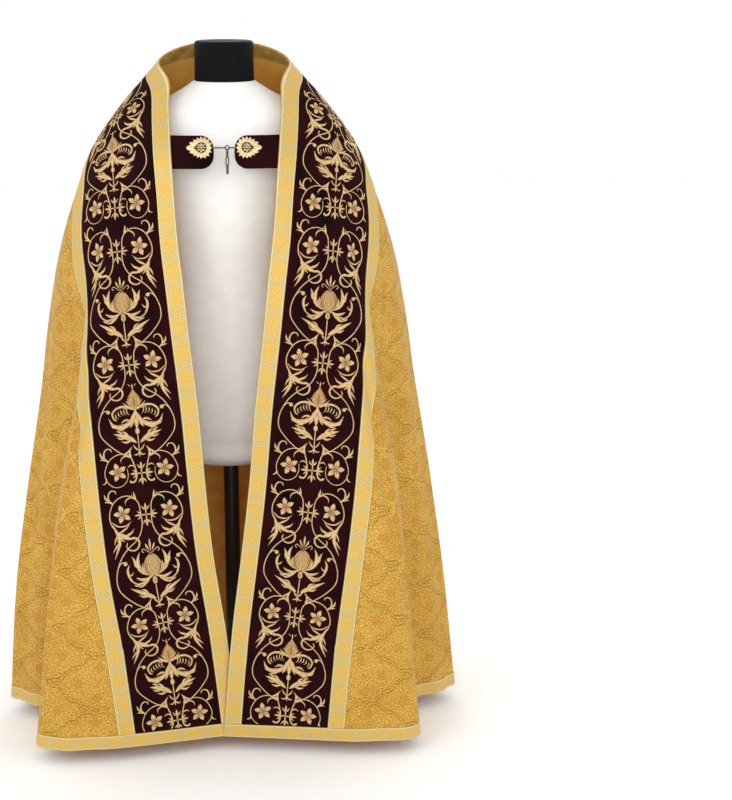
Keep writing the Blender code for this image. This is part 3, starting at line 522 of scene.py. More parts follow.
def brocadeMaterial():
    # Jacquard brocade of gold metal thread: a speckled ground whose pale specks are painted glints, and a
    # ton-on-tone ogee lattice of wavy double lines with small flowers in each cell
    look, repeats = brocadeLook, brocadeLook["repeatMm"]
    material, tree = startMaterial("goldJacquardBrocade", {
        "Roughness": 0.55, "Metallic": 0.14, "Specular IOR Level": 0.22, "Sheen Weight": 0.05,
        "Sheen Roughness": 0.4, "Sheen Tint": linear("#E8BE6A")})
    flat, xy = millimetres(tree)
    speckle = addNode(tree, "TexNoise", {"Vector": flat, "Scale": 1 / look["speckle"], "Detail": 4.0,
                                         "Roughness": 0.85})
    shake = addNode(tree, "TexNoise", {"Vector": flat, "Scale": 0.11, "Detail": 1.0})
    shake = chain(tree, shake, ("Math MULTIPLY_ADD", 5.0, -2.5))
    folded = [chain(tree, way, ("Math ADD", shake), ("Math PINGPONG", repeat))
              for way, repeat in zip(xy, repeats)]
    share = addNode(tree, "Math MULTIPLY", (folded[0], 1 / repeats[0]))
    edge = addNode(tree, "Math MULTIPLY_ADD", (folded[1], 1 / repeats[1], -0.5))
    edge = chain(tree, share, ("Math MULTIPLY", math.pi), ("Math COSINE",), ("Math MULTIPLY_ADD", -0.5, edge))
    away = chain(tree, share, ("Math MULTIPLY", 3 * math.pi), ("Math SINE",), ("Math ABSOLUTE",),
                 ("Math MULTIPLY_ADD", look["lobe"], edge), ("Math SUBTRACT", look["lobe"] / 2),
                 ("Math MULTIPLY", look["span"]))
    lines = [addNode(tree, "Math COMPARE", (away, *line)) for line in look["lines"]]
    lines = addNode(tree, "Math MAXIMUM", lines)
    # the two sets of cells stand half a drop apart
    turnedOver = [addNode(tree, "Math SUBTRACT", pair) for pair in zip(repeats, folded)]
    reaches = None
    for ways in (folded, turnedOver):
        cell = addNode(tree, "CombineXYZ", ways)
        for centre, size, petals in look["flowers"]:
            offset = addNode(tree, "VectorMath SUBTRACT", (cell, centre))
            reach = addNode(tree, "VectorMath LENGTH", (offset,)).outputs["Value"]
            x, y, _ = addNode(tree, "SeparateXYZ", (offset,)).outputs
            inside = chain(tree, y, ("Math ARCTAN2", x), ("Math MULTIPLY", petals), ("Math COSINE",),
                           ("Math MULTIPLY_ADD", 0.20 * size, 0.78 * size), ("Math SUBTRACT", reach))
            reaches = addNode(tree, "Math MAXIMUM", (reaches, inside)) if reaches else inside
    figures = addNode(tree, "MapRange", (reaches, -0.6, 0.6))
    rim = addNode(tree, "Math COMPARE", (reaches, 0.6, 0.7))
    patches = addNode(tree, "TexNoise", {"Vector": flat, "Scale": 0.012, "Detail": 2.0})
    ground = chain(tree, patches, ("Math MULTIPLY_ADD", 0.08, -0.04), ("Math ADD", speckle), ("ValToRGB",))
    stops = ground.color_ramp.elements
    stops[0].position, stops[0].color = 0.40, linear(look["groundDark"])
    # painted highlight: the pale end of the speckle is painted glints of the metal thread
    stops[1].position, stops[1].color = 0.60, linear(look["paintedGlint"])
    stops.new(0.50).color = linear(look["ground"])
    drawn = layColours(tree, ground, ((figures, 0.55, look["figure"]), (rim, 0.36, look["figureEdge"]),
                                      (lines, 0.72, look["drawn"])))
    relief = chain(tree, figures, ("Math SUBTRACT", lines), ("Math MULTIPLY_ADD", 0.35, speckle))
    return finishMaterial(material, drawn, relief, 0.35)


galloonLook = {"repeat": 54, "gold": "#DDB557", "greyGreen": "#CDBB80", "edge": "#EFDCA2", "cord": "#B98A44",
               "net": 6.4, "shade": "#7C6828", "edgeIn": 2.6, "cordIn": 1.3}


def galloonMaterial(name, widthMm):
    # Woven metal-thread galloon: soft lozenges in yellow and silvery gold, a net of crossed threads drawn
    # coarse enough to show, and corded edges
    look, half, repeat = galloonLook, widthMm / 2, galloonLook["repeat"] / 2
    material, tree = startMaterial(name, {"Roughness": 0.42, "Metallic": 0.30})
    flat, xy = millimetres(tree)
    away = addNode(tree, "Math ABSOLUTE", (xy[0],))
    across = addNode(tree, "Math DIVIDE", (away, half))
    diamond = chain(tree, xy[1], ("Math PINGPONG", repeat), ("Math DIVIDE", repeat), ("Math ADD", across))
    rough = addNode(tree, "TexNoise", {"Vector": flat, "Scale": 0.12, "Detail": 2.0})
    diamond = addNode(tree, "Math MULTIPLY_ADD", (rough, 1.1, diamond))
    share = addNode(tree, "MapRange", (diamond, 1.0, 2.25), interpolation_type="SMOOTHSTEP")
    speckle = addNode(tree, "TexNoise", {"Vector": flat, "Scale": 0.5, "Detail": 3.0})
    net = crossedWaves(tree, xy, look["net"])
    colour = addNode(tree, "Mix", {0: share, 6: linear(look["gold"]), 7: linear(look["greyGreen"])},
                     data_type="RGBA")
    depth = addNode(tree, "Math MULTIPLY_ADD", (share, 0.20, 0.20))
    shade = chain(tree, net, ("Math MULTIPLY_ADD", depth, speckle), ("MapRange", 0.58, 0.14, 0.0, 0.72))
    edge = addNode(tree, "Math COMPARE", (away, half - look["edgeIn"], 0.9))
    cord = addNode(tree, "Math GREATER_THAN", (away, half - look["cordIn"]))
    colour = layColours(tree, colour, ((shade, 1.0, look["shade"]), (edge, 0.55, look["edge"]),
                                       (cord, 0.60, look["cord"])))
    relief = addNode(tree, "Math MULTIPLY_ADD", (net, 0.4, speckle))
    relief = addNode(tree, "Math MULTIPLY_ADD", (edge, 0.5, relief))
    return finishMaterial(material, colour, relief, 0.35)


def velvetMaterial():
    # Cut silk velvet: nearly black face on, wine red at grazing angles, with soft marks in the nap
    material, tree = startMaterial("wineCutVelvet", {
        "Roughness": 0.92, "Specular IOR Level": 0.10, "Sheen Weight": 0.24, "Sheen Roughness": 0.34,
        "Sheen Tint": linear("#8C1B2E")})
    flat, _ = millimetres(tree)
    nap = addNode(tree, "TexNoise", {"Vector": flat, "Scale": 0.9, "Detail": 3.0})
    marks = addNode(tree, "TexNoise", {"Vector": flat, "Scale": 0.016, "Detail": 2.0})
    share = chain(tree, nap, ("Math MULTIPLY_ADD", 0.5, marks), ("MapRange", 0.5, 1.0))
    return finishTwoTone(material, share, "#0F0102", "#2A0409", nap, 0.25)


def threadMaterial(name, light, dark, roughness, metallic):
    # Satin stitch in gold silk: closely laid threads with painted highlight bands where they catch the light, and
    # painted shade towards each stroke's edges
    material, tree = startMaterial(name, {"Roughness": roughness, "Metallic": metallic})
    flat, xy = millimetres(tree)
    threadMm = 1.1
    # painted highlight: the colour is lighter along each thread's ridge
    ridge = chain(tree, xy[0], ("Math MULTIPLY_ADD", 0.5, xy[1]), ("Math MULTIPLY", 2 * math.pi / threadMm),
                  ("Math SINE",))
    worn = addNode(tree, "TexNoise", {"Vector": flat, "Scale": 0.25, "Detail": 2.0})
    share = addNode(tree, "Math MULTIPLY_ADD", (ridge, 0.16, worn))
    # painted shade: each stroke darkens towards its edges, where its crowned sides turn away from the light
    stitch = addNode(tree, "SeparateXYZ", (addNode(tree, "UVMap", uv_map="stitch"),)).outputs
    share = chain(tree, stitch[0], ("Math ABSOLUTE",), ("Math POWER", 3.0), ("Math MULTIPLY_ADD", -0.42, share),
                  ("MapRange", 0.15, 0.66))
    return finishTwoTone(material, share, dark, light, ridge, 0.18)


def clothMaterial(name, light, dark, threadMm, look, bumpMm=0.2):
    # Plain woven or knitted cloth: crossed threads, with a slow change of tone
    material, tree = startMaterial(name, look)
    flat, xy = millimetres(tree)
    weave = crossedWaves(tree, xy, threadMm)
    slow = addNode(tree, "TexNoise", {"Vector": flat, "Scale": 0.03, "Detail": 4.0})
    share = chain(tree, weave, ("Math MULTIPLY_ADD", 0.12, slow), ("MapRange", 0.25, 0.75))
    return finishTwoTone(material, share, dark, light, weave, bumpMm)


def metalMaterial(name, light, dark, roughness, metallic=1.0):
    # Cast or drawn metal: a light tone, dulled a little in patches
    material, tree = startMaterial(name, {"Roughness": roughness, "Metallic": metallic})
    place = addNode(tree, "TexCoord").outputs["Object"]
    patches = addNode(tree, "TexNoise", {"Vector": place, "Scale": 260.0, "Detail": 3.0})
    return finishTwoTone(material, patches, dark, light, patches, 0.06)


finishes = {
    "brocade": brocadeMaterial(),
    "galloon": galloonMaterial("wovenGoldGalloon", 37),
    "hemGalloon": galloonMaterial("wovenGoldGalloonNarrow", 29),
    "velvet": velvetMaterial(),
    "paleThread": threadMaterial("paleGoldSilkThread", "#F1D3A0", "#B98C50", 0.42, 0.20),
    "oldThread": threadMaterial("oldGoldSilkThread", "#D6AC6C", "#906834", 0.48, 0.18),
    "roseThread": threadMaterial("roseBrownSilkThread", "#B27C58", "#774630", 0.50, 0.08),
    "creamThread": threadMaterial("creamSilkThread", "#F0E9DA", "#C4B493", 0.45, 0.0),
    # Satin lining: smooth, orange gold, with a broad sheen; its orange gold is painted brighter than the satin, as
    # painted light inside the shaded collar
    "lining": clothMaterial("orangeGoldSatin", "#FFCB62", "#F0A83E", 1.6,
                            {"Roughness": 0.32, "Sheen Weight": 0.15, "Anisotropic": 0.4}, 0.08),
    "facing": clothMaterial("wovenGoldFacingTape", "#EBC76E", "#9A7230", 2.8,
                            {"Roughness": 0.5, "Metallic": 0.15}),
    "fringe": threadMaterial("twistedSilverGoldThread", "#F0DDAA", "#A88F58", 0.40, 0.35),
    "leaf": metalMaterial("paleGoldCastFiligree", "#F6E4C0", "#D2B07A", 0.34, 0.75),
    # painted shade for the dark gaps between the cast leaf's parts
    "leafShade": metalMaterial("paintedShadeInTheLeafGaps", "#8A6A38", "#4C3818", 0.5, 0.6),
    "wire": metalMaterial("nickelPlatedWire", "#8E887C", "#4A463F", 0.22),
    "jersey": clothMaterial("offWhiteCottonJersey", "#FAF9F6", "#F2F0EB", 1.8, {"Roughness": 0.9}, 0.15),
    "neck": clothMaterial("blackNeckCloth", "#07080B", "#030405", 1.4,
                          {"Roughness": 0.6, "Specular IOR Level": 0.12}, 0.15),
    "stand": metalMaterial("blackSatinPaint", "#1D1E20", "#121315", 0.42, 0.0),
}
print("cope: materials made")


# Meshes and their place in the frame
def addObject(name, data):
    placed = bpy.data.objects.new(name, data)
    bpy.context.scene.collection.objects.link(placed)
    return placed


def gridFaces(rows, cols, loopRows=False, loopCols=False):
    # the quads of a grid of points; a loop joins its last row or column to the first
    index = np.arange(rows * cols).reshape(rows, cols)
    if loopRows:
        index = np.concatenate((index, index[:1]))
    if loopCols:
        index = np.concatenate((index, index[:, :1]), axis=1)
    return np.stack((index[:-1, :-1], index[:-1, 1:], index[1:, 1:], index[1:, :-1]), axis=-1).reshape(-1, 4)


def facesInward(face):
    centre = face.calc_center_median()
    return face.normal.dot((centre.x, centre.y - standMiddle[1], 0.35)) < -1e-4


def addMesh(name, vertices, faces, layers, materials, faceMaterials=None, sharp=48, closed=True):
    mesh = bpy.data.meshes.new(name)
    mesh.from_pydata(vertices.tolist(), [], faces if isinstance(faces, list) else faces.tolist())
    work = bmesh.new()
    work.from_mesh(mesh)
    if closed:
        bmesh.ops.recalc_face_normals(work, faces=work.faces)
    else:                                 # stitches, which all look away from the stand
        bmesh.ops.reverse_faces(work, faces=[face for face in work.faces if facesInward(face)])
    work.to_mesh(mesh)
    work.free()
    corners = np.empty(len(mesh.loops), dtype=np.int32)
    mesh.loops.foreach_get("vertex_index", corners)
    for layer, values in layers.items():
        values = np.asarray(values, dtype=np.float32).reshape(-1, 2)[corners]
        mesh.uv_layers.new(name=layer).data.foreach_set("uv", values.ravel())
    for one in materials:
        mesh.materials.append(finishes[one])
    if faceMaterials is not None:
        mesh.polygons.foreach_set("material_index", np.asarray(faceMaterials, dtype=np.int32))
    mesh.shade_smooth()
    if closed:
        mesh.set_sharp_from_angle(angle=math.radians(sharp))
    return addObject(name, mesh)


def flatCut(across, along):
    return np.stack(np.broadcast_arrays(across, along), axis=-1)


def addShell(name, outer, inner, flat, front, back):
    # a closed wall of cloth between two grids, with its own finish on its inner face
    rows, cols = outer.shape[:2]
    count = rows * cols
    index = np.arange(count).reshape(rows, cols)
    outerFaces = gridFaces(rows, cols)
    innerFaces = outerFaces[:, [0, 3, 2, 1]] + count
    rim = np.concatenate((index[0, :-1], index[:-1, -1], index[-1, :0:-1], index[:0:-1, 0]))
    after = np.roll(rim, -1)
    rimFaces = np.stack((rim, rim + count, after + count, after), axis=-1)
    which = np.repeat((0, 1, 0), (len(outerFaces), len(innerFaces), len(rimFaces)))
    return addMesh(name, np.concatenate((outer.reshape(-1, 3), inner.reshape(-1, 3))),
                   np.concatenate((outerFaces, innerFaces, rimFaces)), {"flat": np.concatenate((flat, flat))},
                   (front, back), which)


def dress(piece, slotName, *nodes, body="cope"):
    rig.ride(piece, body)
    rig.slot(piece, slotName)
    if nodes:
        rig.replaces(piece, *nodes)
    return piece


labels = {-1: "Left", 0: "", 1: "Right"}
sheets = {}


def sewSheet(name, side, slotName, node, spot, high, low, flat, front, back="lining"):
    # a sheet of cloth between two heights over the hanging surface
    name += labels[side]
    outer = raised(*spot, high)
    piece = addShell(name, outer, raised(*spot, low), flat, front, back)
    nodes = [node + ("_" + labels[side].lower() if side else "")] if node else []
    sheets[name] = dress(piece, slotName, *nodes), outer


def declareSheet(piece, outer, restsOn, sewnOn=()):
    # the flat cut, from the lengths of the threads along and across the piece
    down = np.linalg.norm(np.diff(outer, axis=0), axis=2)
    over = np.linalg.norm(np.diff(outer, axis=1), axis=2)
    area = float((((down[:, :-1] + down[:, 1:]) / 2) * ((over[:-1] + over[1:]) / 2)).sum())
    length = float(max(down.sum(axis=0).max(), over.sum(axis=1).max()))
    width = max(area / length, 0.011)
    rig.sheet(piece, flat=(width, length), held="hung", rests_on=list(restsOn), area=min(area, width * length),
             with_pieces=list(sewnOn))


def crownShares(count, rim=0.05):
    # places across a tape, closer at its selvedges
    return np.concatenate(([0, rim * 0.35, rim], np.linspace(rim * 2, 1 - rim * 2, count),
                           [1 - rim, 1 - rim * 0.35, 1]))


def crown(shares, width, edgeMm=1.6, low=0.45):
    away = np.minimum(shares, 1 - shares) * width * 1000
    return low + (1 - low) * np.clip(1 - (1 - np.clip(away / edgeMm, 0, 1)) ** 2, 0, 1) ** 0.5


def pucker(along, seed):
    return 0.00022 * (np.sin(along * 431 + seed) + np.sin(along * 277 - 2 * seed) * 0.7)


def layStrip(name, node, finish, side, start, low, width, shares, edgeMm, wall):
    # a strip along the front edge, from the centre back to the hem
    ds = low + shares * width
    ends = np.array([edges[side].sAtZ(d, clothBottom) for d in ds])
    s = start + np.linspace(0, 1, grid["strip"])[:, None] * (ends - start)
    height = wall * crown(shares, width, edgeMm) + (pucker(s, side + low * 9) if finish == "galloon" else 0)
    sewSheet(name, side, finish, node, (side, *edges[side].at(s, ds)), height, 0.0,
             flatCut(ds - low - width / 2, s), finish)


seam, galloonWidth, velvetWidth = (clothForm[key] for key in ("seam", "galloon", "velvet"))
galloonShares = crownShares(grid["galloon"])
for side in (-1, 1):
    for name, node, low in (("galloonInner", "galloon_inner", 0.0),
                            ("galloonOuter", "galloon_outer", outerStart)):
        layStrip(name, node, "galloon", side, seam / 2, low, galloonWidth, galloonShares, 1.6,
                 clothForm["galloonWall"])
    layStrip("orphreyVelvet", "orphrey_velvet", "velvet", side, clothForm["backGalloon"] / 2 + seam,
             velvetStart, velvetWidth, crownShares(grid["velvet"], 0.012), 2.2, clothForm["velvetWall"])

# the short galloon down the centre back
ds = np.linspace(velvetStart, velvetStart + velvetWidth, grid["centreBack"])
s, d = np.broadcast_arrays((galloonShares - 0.5) * clothForm["backGalloon"], ds[:, None])
left, right = (edges[side].at(np.abs(s), d) for side in (-1, 1))
spot = (np.where(s < 0, -1, 1), *(np.where(s < 0, left[k], right[k]) for k in (0, 1)))
height = clothForm["galloonWall"] * crown(galloonShares, clothForm["backGalloon"]) + pucker(ds, 2)[:, None]
sewSheet("galloonCentreBack", 0, "galloon", "galloon_centre_back", spot, height, 0.0, flatCut(s, d), "galloon")
print("cope: orphreys and galloons made")


# The brocade
def brocadeFlat(side, u, z, fromU):
    x = readCloth("arcs", side, u, z) - readCloth("arcs", side, np.full(np.shape(u), fromU), z)
    return np.stack((side * x, readCloth("falls", side, u, z)), axis=-1)


def brocadeFront(side):
    rows, cols = grid["front"]
    seamU = clothForm["seamU"] + clothForm["seamGapU"]
    cornerU = seamU + 0.03
    s = np.linspace(0, edges[side].sAtZ(brocadeLine, clothBottom), grid["line"])
    lineU, lineZ = edges[side].at(s, brocadeLine)
    kept = s[lineU > cornerU]
    uEnds, zRows = edges[side].at(np.linspace(kept[0], kept[-1], rows), brocadeLine)
    uEnds[0], zRows[0] = cornerU, np.interp(cornerU, lineU, lineZ)
    u = seamU + np.linspace(0, 1, cols) * (uEnds[:, None] - seamU)
    return u, zRows[:, None] + 0 * u


def brocadeTop(side):
    # the line where the brocade meets the orphrey, down the back and over the shoulder
    return edges[side].at(np.linspace(0, 0.9, 600), brocadeLine)


def signedUs(count):
    # from the left side seam over the centre back to the right one
    us = np.linspace(0, clothForm["seamU"], count)
    return np.concatenate((-us[:0:-1], us))


for side in (-1, 1):
    u, z = brocadeFront(side)
    sewSheet("brocadeFront", side, "brocade", "brocade_front", (side, u, z), clothForm["brocadeWall"], 0.0,
             brocadeFlat(side, u, z, 8.0), "brocade")

us = signedUs(grid["back"][1])
tops = np.where(us < 0, np.interp(-us, *brocadeTop(-1)), np.interp(us, *brocadeTop(1)))
spot = (np.where(us < 0, -1, 1), np.abs(us),
        tops + np.linspace(0, 1, grid["back"][0])[:, None] * (clothBottom - tops))
sewSheet("brocadeBack", 0, "brocade", "brocade_back", spot, clothForm["brocadeWall"], 0.0,
         brocadeFlat(*spot, 0.0), "brocade")

hemShares = crownShares(grid["hem"][1])
hemZs = clothForm["hemZ"] + hemShares * clothForm["hemGalloon"]
for side in (0, -1, 1):
    if side:
        start = clothForm["seamU"] + clothForm["seamGapU"]
        ends = np.array([edges[side].at(edges[side].sAtZ(0.0, z), 0.0)[0] for z in hemZs])
        us = side * (start + np.linspace(0, 1, grid["hem"][0])[:, None] * (ends - start))
    else:
        us = signedUs(grid["hemBack"])[:, None] + 0 * hemZs
    spot = (np.where(us < 0, -1, 1), np.abs(us), hemZs)
    arcs = spot[0] * readCloth("arcs", *spot)
    height = clothForm["galloonWall"] * crown(hemShares, clothForm["hemGalloon"]) + pucker(arcs, 1.3)
    flat = flatCut(hemZs - clothForm["hemZ"] - clothForm["hemGalloon"] / 2, arcs)
    sewSheet("hemGalloon" if side else "hemGalloonBack", side, "galloon",
             "hem_galloon" if side else "hem_galloon_back", spot, height, 0.0, flat, "hemGalloon")
print("cope: brocade and hem made")

# the facing under the rim and the satin below it, where they show inside the collar
collar = {"reach": 0.30, "rim": 0.001, "liningEnd": velvetStart + 0.6 * velvetWidth}
for name, node, low, high, finish in (
        ("collarFacing", "collar_facing", collar["rim"], galloonWidth, "facing"),
        ("collarLining", "collar_lining", velvetStart, collar["liningEnd"], "lining")):
    ds = np.linspace(low, high, grid["collar"][1])
    halves = []
    for side in (-1, 1):
        ends = np.array([edges[side].sAtZ(d, clothForm["hemZ"] + clothForm["hemGalloon"]) for d in ds])
        t = np.linspace(0, 1, grid["collar"][0])[:, None]
        s = (t[:0:-1] if side < 0 else t) * collar["reach"] * ends
        halves.append((side + 0 * s, *edges[side].at(s, ds), ds + 0 * s, side * s))
    sides, u, z, across, along = (np.concatenate(half) for half in zip(*halves))
    top = -clothForm["liningDrop"]
    sewSheet(name, 0, finish, node, (sides, u, z), top, top - clothForm["liningWall"],
             flatCut(across, along), finish, finish)

# The hood
hood = {"halfWidth": 0.245, "bottomZ": 0.782, "corner": 0.090, "topDrop": 0.0004, "galloon": 0.030,
        "lift": 0.0019, "wall": 0.0024, "rise": 0.0004, "strip": 0.006, "fringeLength": 0.040, "strands": 330}
hoodLow = clothForm["brocadeWall"] + hood["lift"]


topArcs = np.linspace(0, 0.40, 200)
hoodTops = {}
for side in (-1, 1):
    hoodTops[side] = np.full(len(topArcs), 1.20)
    for _ in range(8):
        topUs = readCloth("uOfArc", side, topArcs, hoodTops[side], arcStep)
        hoodTops[side] = np.interp(topUs, *brocadeTop(side)) - hood["topDrop"]
hoodHeight = float(hoodTops[1][0] + hood["topDrop"] - hood["bottomZ"])


def hoodSpot(x, z):
    # side, u and z from the arc length x off the centre back
    side, x, z = np.broadcast_arrays(np.where(np.asarray(x) >= 0, 1, -1), np.abs(x), z)
    return side, readCloth("uOfArc", side, x, z, arcStep), z


def hoodPlace(x, down):
    # down runs from 0 at the hood's top edge to 1 at its lowest line
    left, right = (np.interp(np.abs(x), topArcs, hoodTops[side]) for side in (-1, 1))
    top = np.where(x >= 0, right, left)
    return hoodSpot(x, top + down * (hood["bottomZ"] - top))


def hoodOutline(offset, steps):
    corner = hood["corner"] + offset
    straight, flatPart = hoodHeight - hood["corner"], hood["halfWidth"] - hood["corner"]
    quarter = corner * math.pi / 2
    along = np.linspace(0, straight + quarter + flatPart, steps)
    angle = np.clip((along - straight) / corner, 0, math.pi / 2)
    x = np.where(along < straight, hood["halfWidth"] + offset, flatPart + corner * np.cos(angle))
    x = np.where(along > straight + quarter, flatPart - (along - straight - quarter), x)
    y = np.where(along < straight, along, straight + corner * np.sin(angle))
    x, y = np.concatenate((-x, x[-2::-1])), np.concatenate((y, y[-2::-1])) / hoodHeight
    return x, y


def hoodBand(low, width, steps, shares):
    # a band round the hood at a distance from its outline, and its two edges in metres
    near, far = (np.stack(hoodOutline(offset, steps), axis=1) for offset in (low, low + width))
    band = near[:, None] + shares[:, None] * (far - near)[:, None]
    return hoodPlace(band[..., 0], band[..., 1]), near * (1, hoodHeight), far * (1, hoodHeight)


x, y = (line[:grid["hood"][0]] for line in hoodOutline(0.0, grid["hood"][0]))
rows = np.nonzero(y < 1 - 1e-6)[0]
x, y = np.append(x[rows], x[rows[-1] + 1]), np.append(y[rows], 1.0)
shares = crownShares(grid["hood"][1], 0.006)
across = (2 * shares - 1) * -x[:, None]
spot = hoodPlace(across, y[:, None])
soft = 0.0014 * np.sin(shares * math.pi) * (y ** 2)[:, None]
height = hoodLow + hood["wall"] * crown(shares, 0.49, 2.2) + soft
sewSheet("hoodVelvet", 0, "velvet", "hood_velvet", spot, height, hoodLow + soft, flatCut(across, spot[2]),
         "velvet")

spot, near, far = hoodBand(clothForm["seam"], hood["galloon"], grid["hoodGalloon"], galloonShares)
along = runningLength((near + far) / 2)[:, None]
height = hoodLow + (hood["wall"] + hood["rise"]) * crown(galloonShares, hood["galloon"]) + pucker(along, 4)
sewSheet("hoodGalloon", 0, "galloon", "hood_galloon", spot, height, hoodLow,
         flatCut((galloonShares - 0.5) * hood["galloon"], along), "hemGalloon")
print("cope: hood made")

# Embroidery: every leaf, petal and stem is one crowned satin stitch, drawn in mm
satinAcross = np.array([-1.0, -0.62, 0.0, 0.62, 1.0])
satinHeights = np.array([0.0, 0.78, 1.0, 0.78, 0.0])
threads = ("paleThread", "oldThread", "roseThread", "creamThread")


def curve(points, count):
    points = np.array(points, dtype=float)
    points = np.concatenate((2 * points[:1] - points[1:2], points, 2 * points[-1:] - points[-2:-1]))
    t = np.linspace(0, len(points) - 3, count)
    i = np.minimum(t.astype(int), len(points) - 4)
    return spline(*(points[i + k] for k in range(4)), (t - i)[:, None])


def stem(points, start, end=None, thread=0, height=0.9, count=None):
    line = curve(points, count or 4 + 5 * (len(points) - 1))
    widths = np.linspace(start, start if end is None else end, len(line))
    widths[0] *= 0.45
    widths[-1] *= 0.45
    return line, widths, thread, height


def leaf(points, width, thread=0, height=1.1, belly=0.45, count=None):
    # pointed at both ends, widest at its belly
    line = curve(points, count or 5 + 4 * (len(points) - 1))
    t = np.linspace(0, 1, len(line)) ** (math.log(0.5) / math.log(belly))
    return line, np.maximum(width * np.sin(math.pi * t) ** 0.85, 0.25), thread, height


# how far in metres the stitches stay from an edge of the velvet
stitchMargin = {"hem": 0.002, "neck": 0.019, "side": 0.001, "hood": 0.006}


def oval(x, y, halfX, halfY, thread=1, height=1.2, count=15):
    t = np.linspace(-1, 1, count)
    return (np.stack((x + 0 * t, y + halfY * t), axis=1),
            np.maximum(2 * halfX * np.sqrt(np.clip(1 - t ** 2, 0, 1)), 0.3), thread, height)


def bead(x, y, radius, thread=0, height=1.5):
    return oval(x, y, radius, radius, thread, height, 7)


def compass(turn):
    # a step away from the middle, turned from straight up
    return np.array((math.sin(turn), -math.cos(turn)))


def moved(strokes, dx=0.0, dy=0.0, turn=0.0, scale=1.0):
    c, s = math.cos(turn), math.sin(turn)
    spin = np.array(((c, s), (-s, c))) * scale
    return [(line @ spin + (dx, dy), widths * scale, *rest) for line, widths, *rest in strokes]


def mirrored(strokes):
    return strokes + [(line * (-1, 1), *rest) for line, *rest in strokes]


def flower(x, y, radius, turn=0.0, outer=0, inner=2):
    # five broad pointed petals, each with a dark stitch at its root
    strokes = []
    centre = np.array((x, y))
    for k in range(5):
        out = compass(turn + 2 * math.pi * k / 5)
        strokes.append(leaf([centre + out * radius * 0.08, centre + out * radius * 0.55, centre + out * radius],
                            radius * 0.56, outer, 1.2, 0.50))
        strokes.append(leaf([centre + out * radius * 0.12, centre + out * radius * 0.62],
                            radius * 0.15, inner, 1.8))
    return strokes + [bead(x, y, radius * 0.21, inner, 2.0), bead(x, y, radius * 0.09, outer, 2.6)]


def fleurCross(x, y, size, bar=3.0):
    arm = [stem([(0, 0), (0, -size * 0.70)], bar, bar, 0, 1.2),
           leaf([(0, -size * 0.46), (0, -size * 1.06)], size * 0.24, 0, 1.5, 0.42)]
    for sign in (1, -1):
        arm.append(leaf([(0, -size * 0.44), (sign * size * 0.20, -size * 0.58),
                         (sign * size * 0.37, -size * 0.84)], size * 0.16, 0, 1.4))
    strokes = [bead(0, 0, bar * 0.7, 2, 1.9)]
    for k in range(4):
        strokes += moved(arm, turn=k * math.pi / 2)
    return moved(strokes, x, y)


def scrollHalf(last):
    # one half of a pair of flower scrolls; the cross stands between the two halves
    strokes = [
        leaf([(18, -30), (19.5, -38), (20.5, -48)], 5.4, 0, 1.2, 0.35),
        leaf([(19, -32), (25, -37), (24, -44)], 2.6),
        leaf([(23, -37), (33, -34.5), (38.5, -29), (38.5, -22)], 3.2, 0, 1.1, 0.35),
        stem([(64, -27), (71, -35), (70.5, -46), (64.5, -52.5), (57, -51), (55.5, -46)], 4.2, 1.9),
        leaf([(71, -33), (77, -39), (79, -48)], 4.6, 0, 1.2, 0.4), leaf([(68, -29), (75, -32), (80, -32)], 3.4),
    ]
    strokes += flower(46.5, -5.5, 18.5, 0.25)
    if last:
        return strokes + [
            stem([(18.5, -33.5), (32, -40), (48, -38.5), (63, -28), (72.5, -7), (70, 10), (59, 21.5), (45, 23),
                  (32, 15), (27, 2), (28, -11)], 2.5, 1.6, count=50),
            stem([(18.5, -33.5), (14.5, -22), (10.8, -6), (10.5, 6), (14, 14), (20, 16.5), (25, 13.5)],
                 2.5, 4.4),
            leaf([(70, 5), (73, 13), (80, 16)], 3.6, 0, 1.1, 0.4), leaf([(12, -13), (20, -17), (27, -13)], 3.0)]
    return strokes + [
        stem([(18.5, -33.5), (32, -40), (48, -38.5), (63, -28), (72.5, -7), (71.5, 11), (64, 25)], 2.5, 2.5),
        leaf([(71, 7), (58, 17), (42, 17), (29, 8.5)], 3.4, 0, 1.1, 0.4),
        stem([(18.5, -33.5), (12.5, -22), (10.8, -4), (9.8, 14), (12.5, 28), (19, 41), (29, 51), (43.5, 61),
              (59, 77), (70, 97), (75.5, 118), (72, 139), (52, 162), (31, 178), (18.5, 184.5)],
             2.5, 2.5, count=78),
        # the acanthus leaf and the ring it makes round the stem
        leaf([(66, 20), (58, 31), (46, 39), (33, 45)], 9.6, 0, 1.5, 0.62),
        leaf([(58, 31), (49, 26), (41, 21), (34, 13)], 4.6, 0, 1.2, 0.35),
        leaf([(48, 38), (39, 35), (32, 31), (27, 24)], 5.2, 0, 1.2, 0.35),
        leaf([(56, 34), (54, 42), (48, 48)], 4.4, 0, 1.2, 0.4),
        leaf([(62, 27), (49, 37), (38, 42)], 1.9, 1, 2.0),
        stem([(36, 43), (27, 43), (20.5, 50), (22, 60), (31, 66), (41, 64), (46, 57), (43.5, 50)],
             5.4, 2.2, 0, 1.3),
        # the leaf that hangs down outside
        leaf([(71, 10), (64, 24), (59.5, 40), (61, 55), (73, 78)], 7.6, 0, 1.3, 0.56),
        leaf([(60.5, 33), (66, 42), (70, 52)], 4.0, 0, 1.2, 0.4),
        leaf([(60, 48), (67, 56), (75, 66)], 4.0, 0, 1.2, 0.4),
        leaf([(65, 22), (61, 40), (64, 58)], 1.8, 1, 1.9),
        stem([(72.5, 104), (68, 93), (61, 86), (54.5, 86)], 1.8, 2.8), bead(53.5, 88.5, 4.3, 0, 1.9),
        leaf([(32, 177), (22, 172), (13, 162)], 4.2), leaf([(24, 181), (19, 174), (17, 164)], 3.2),
    ]


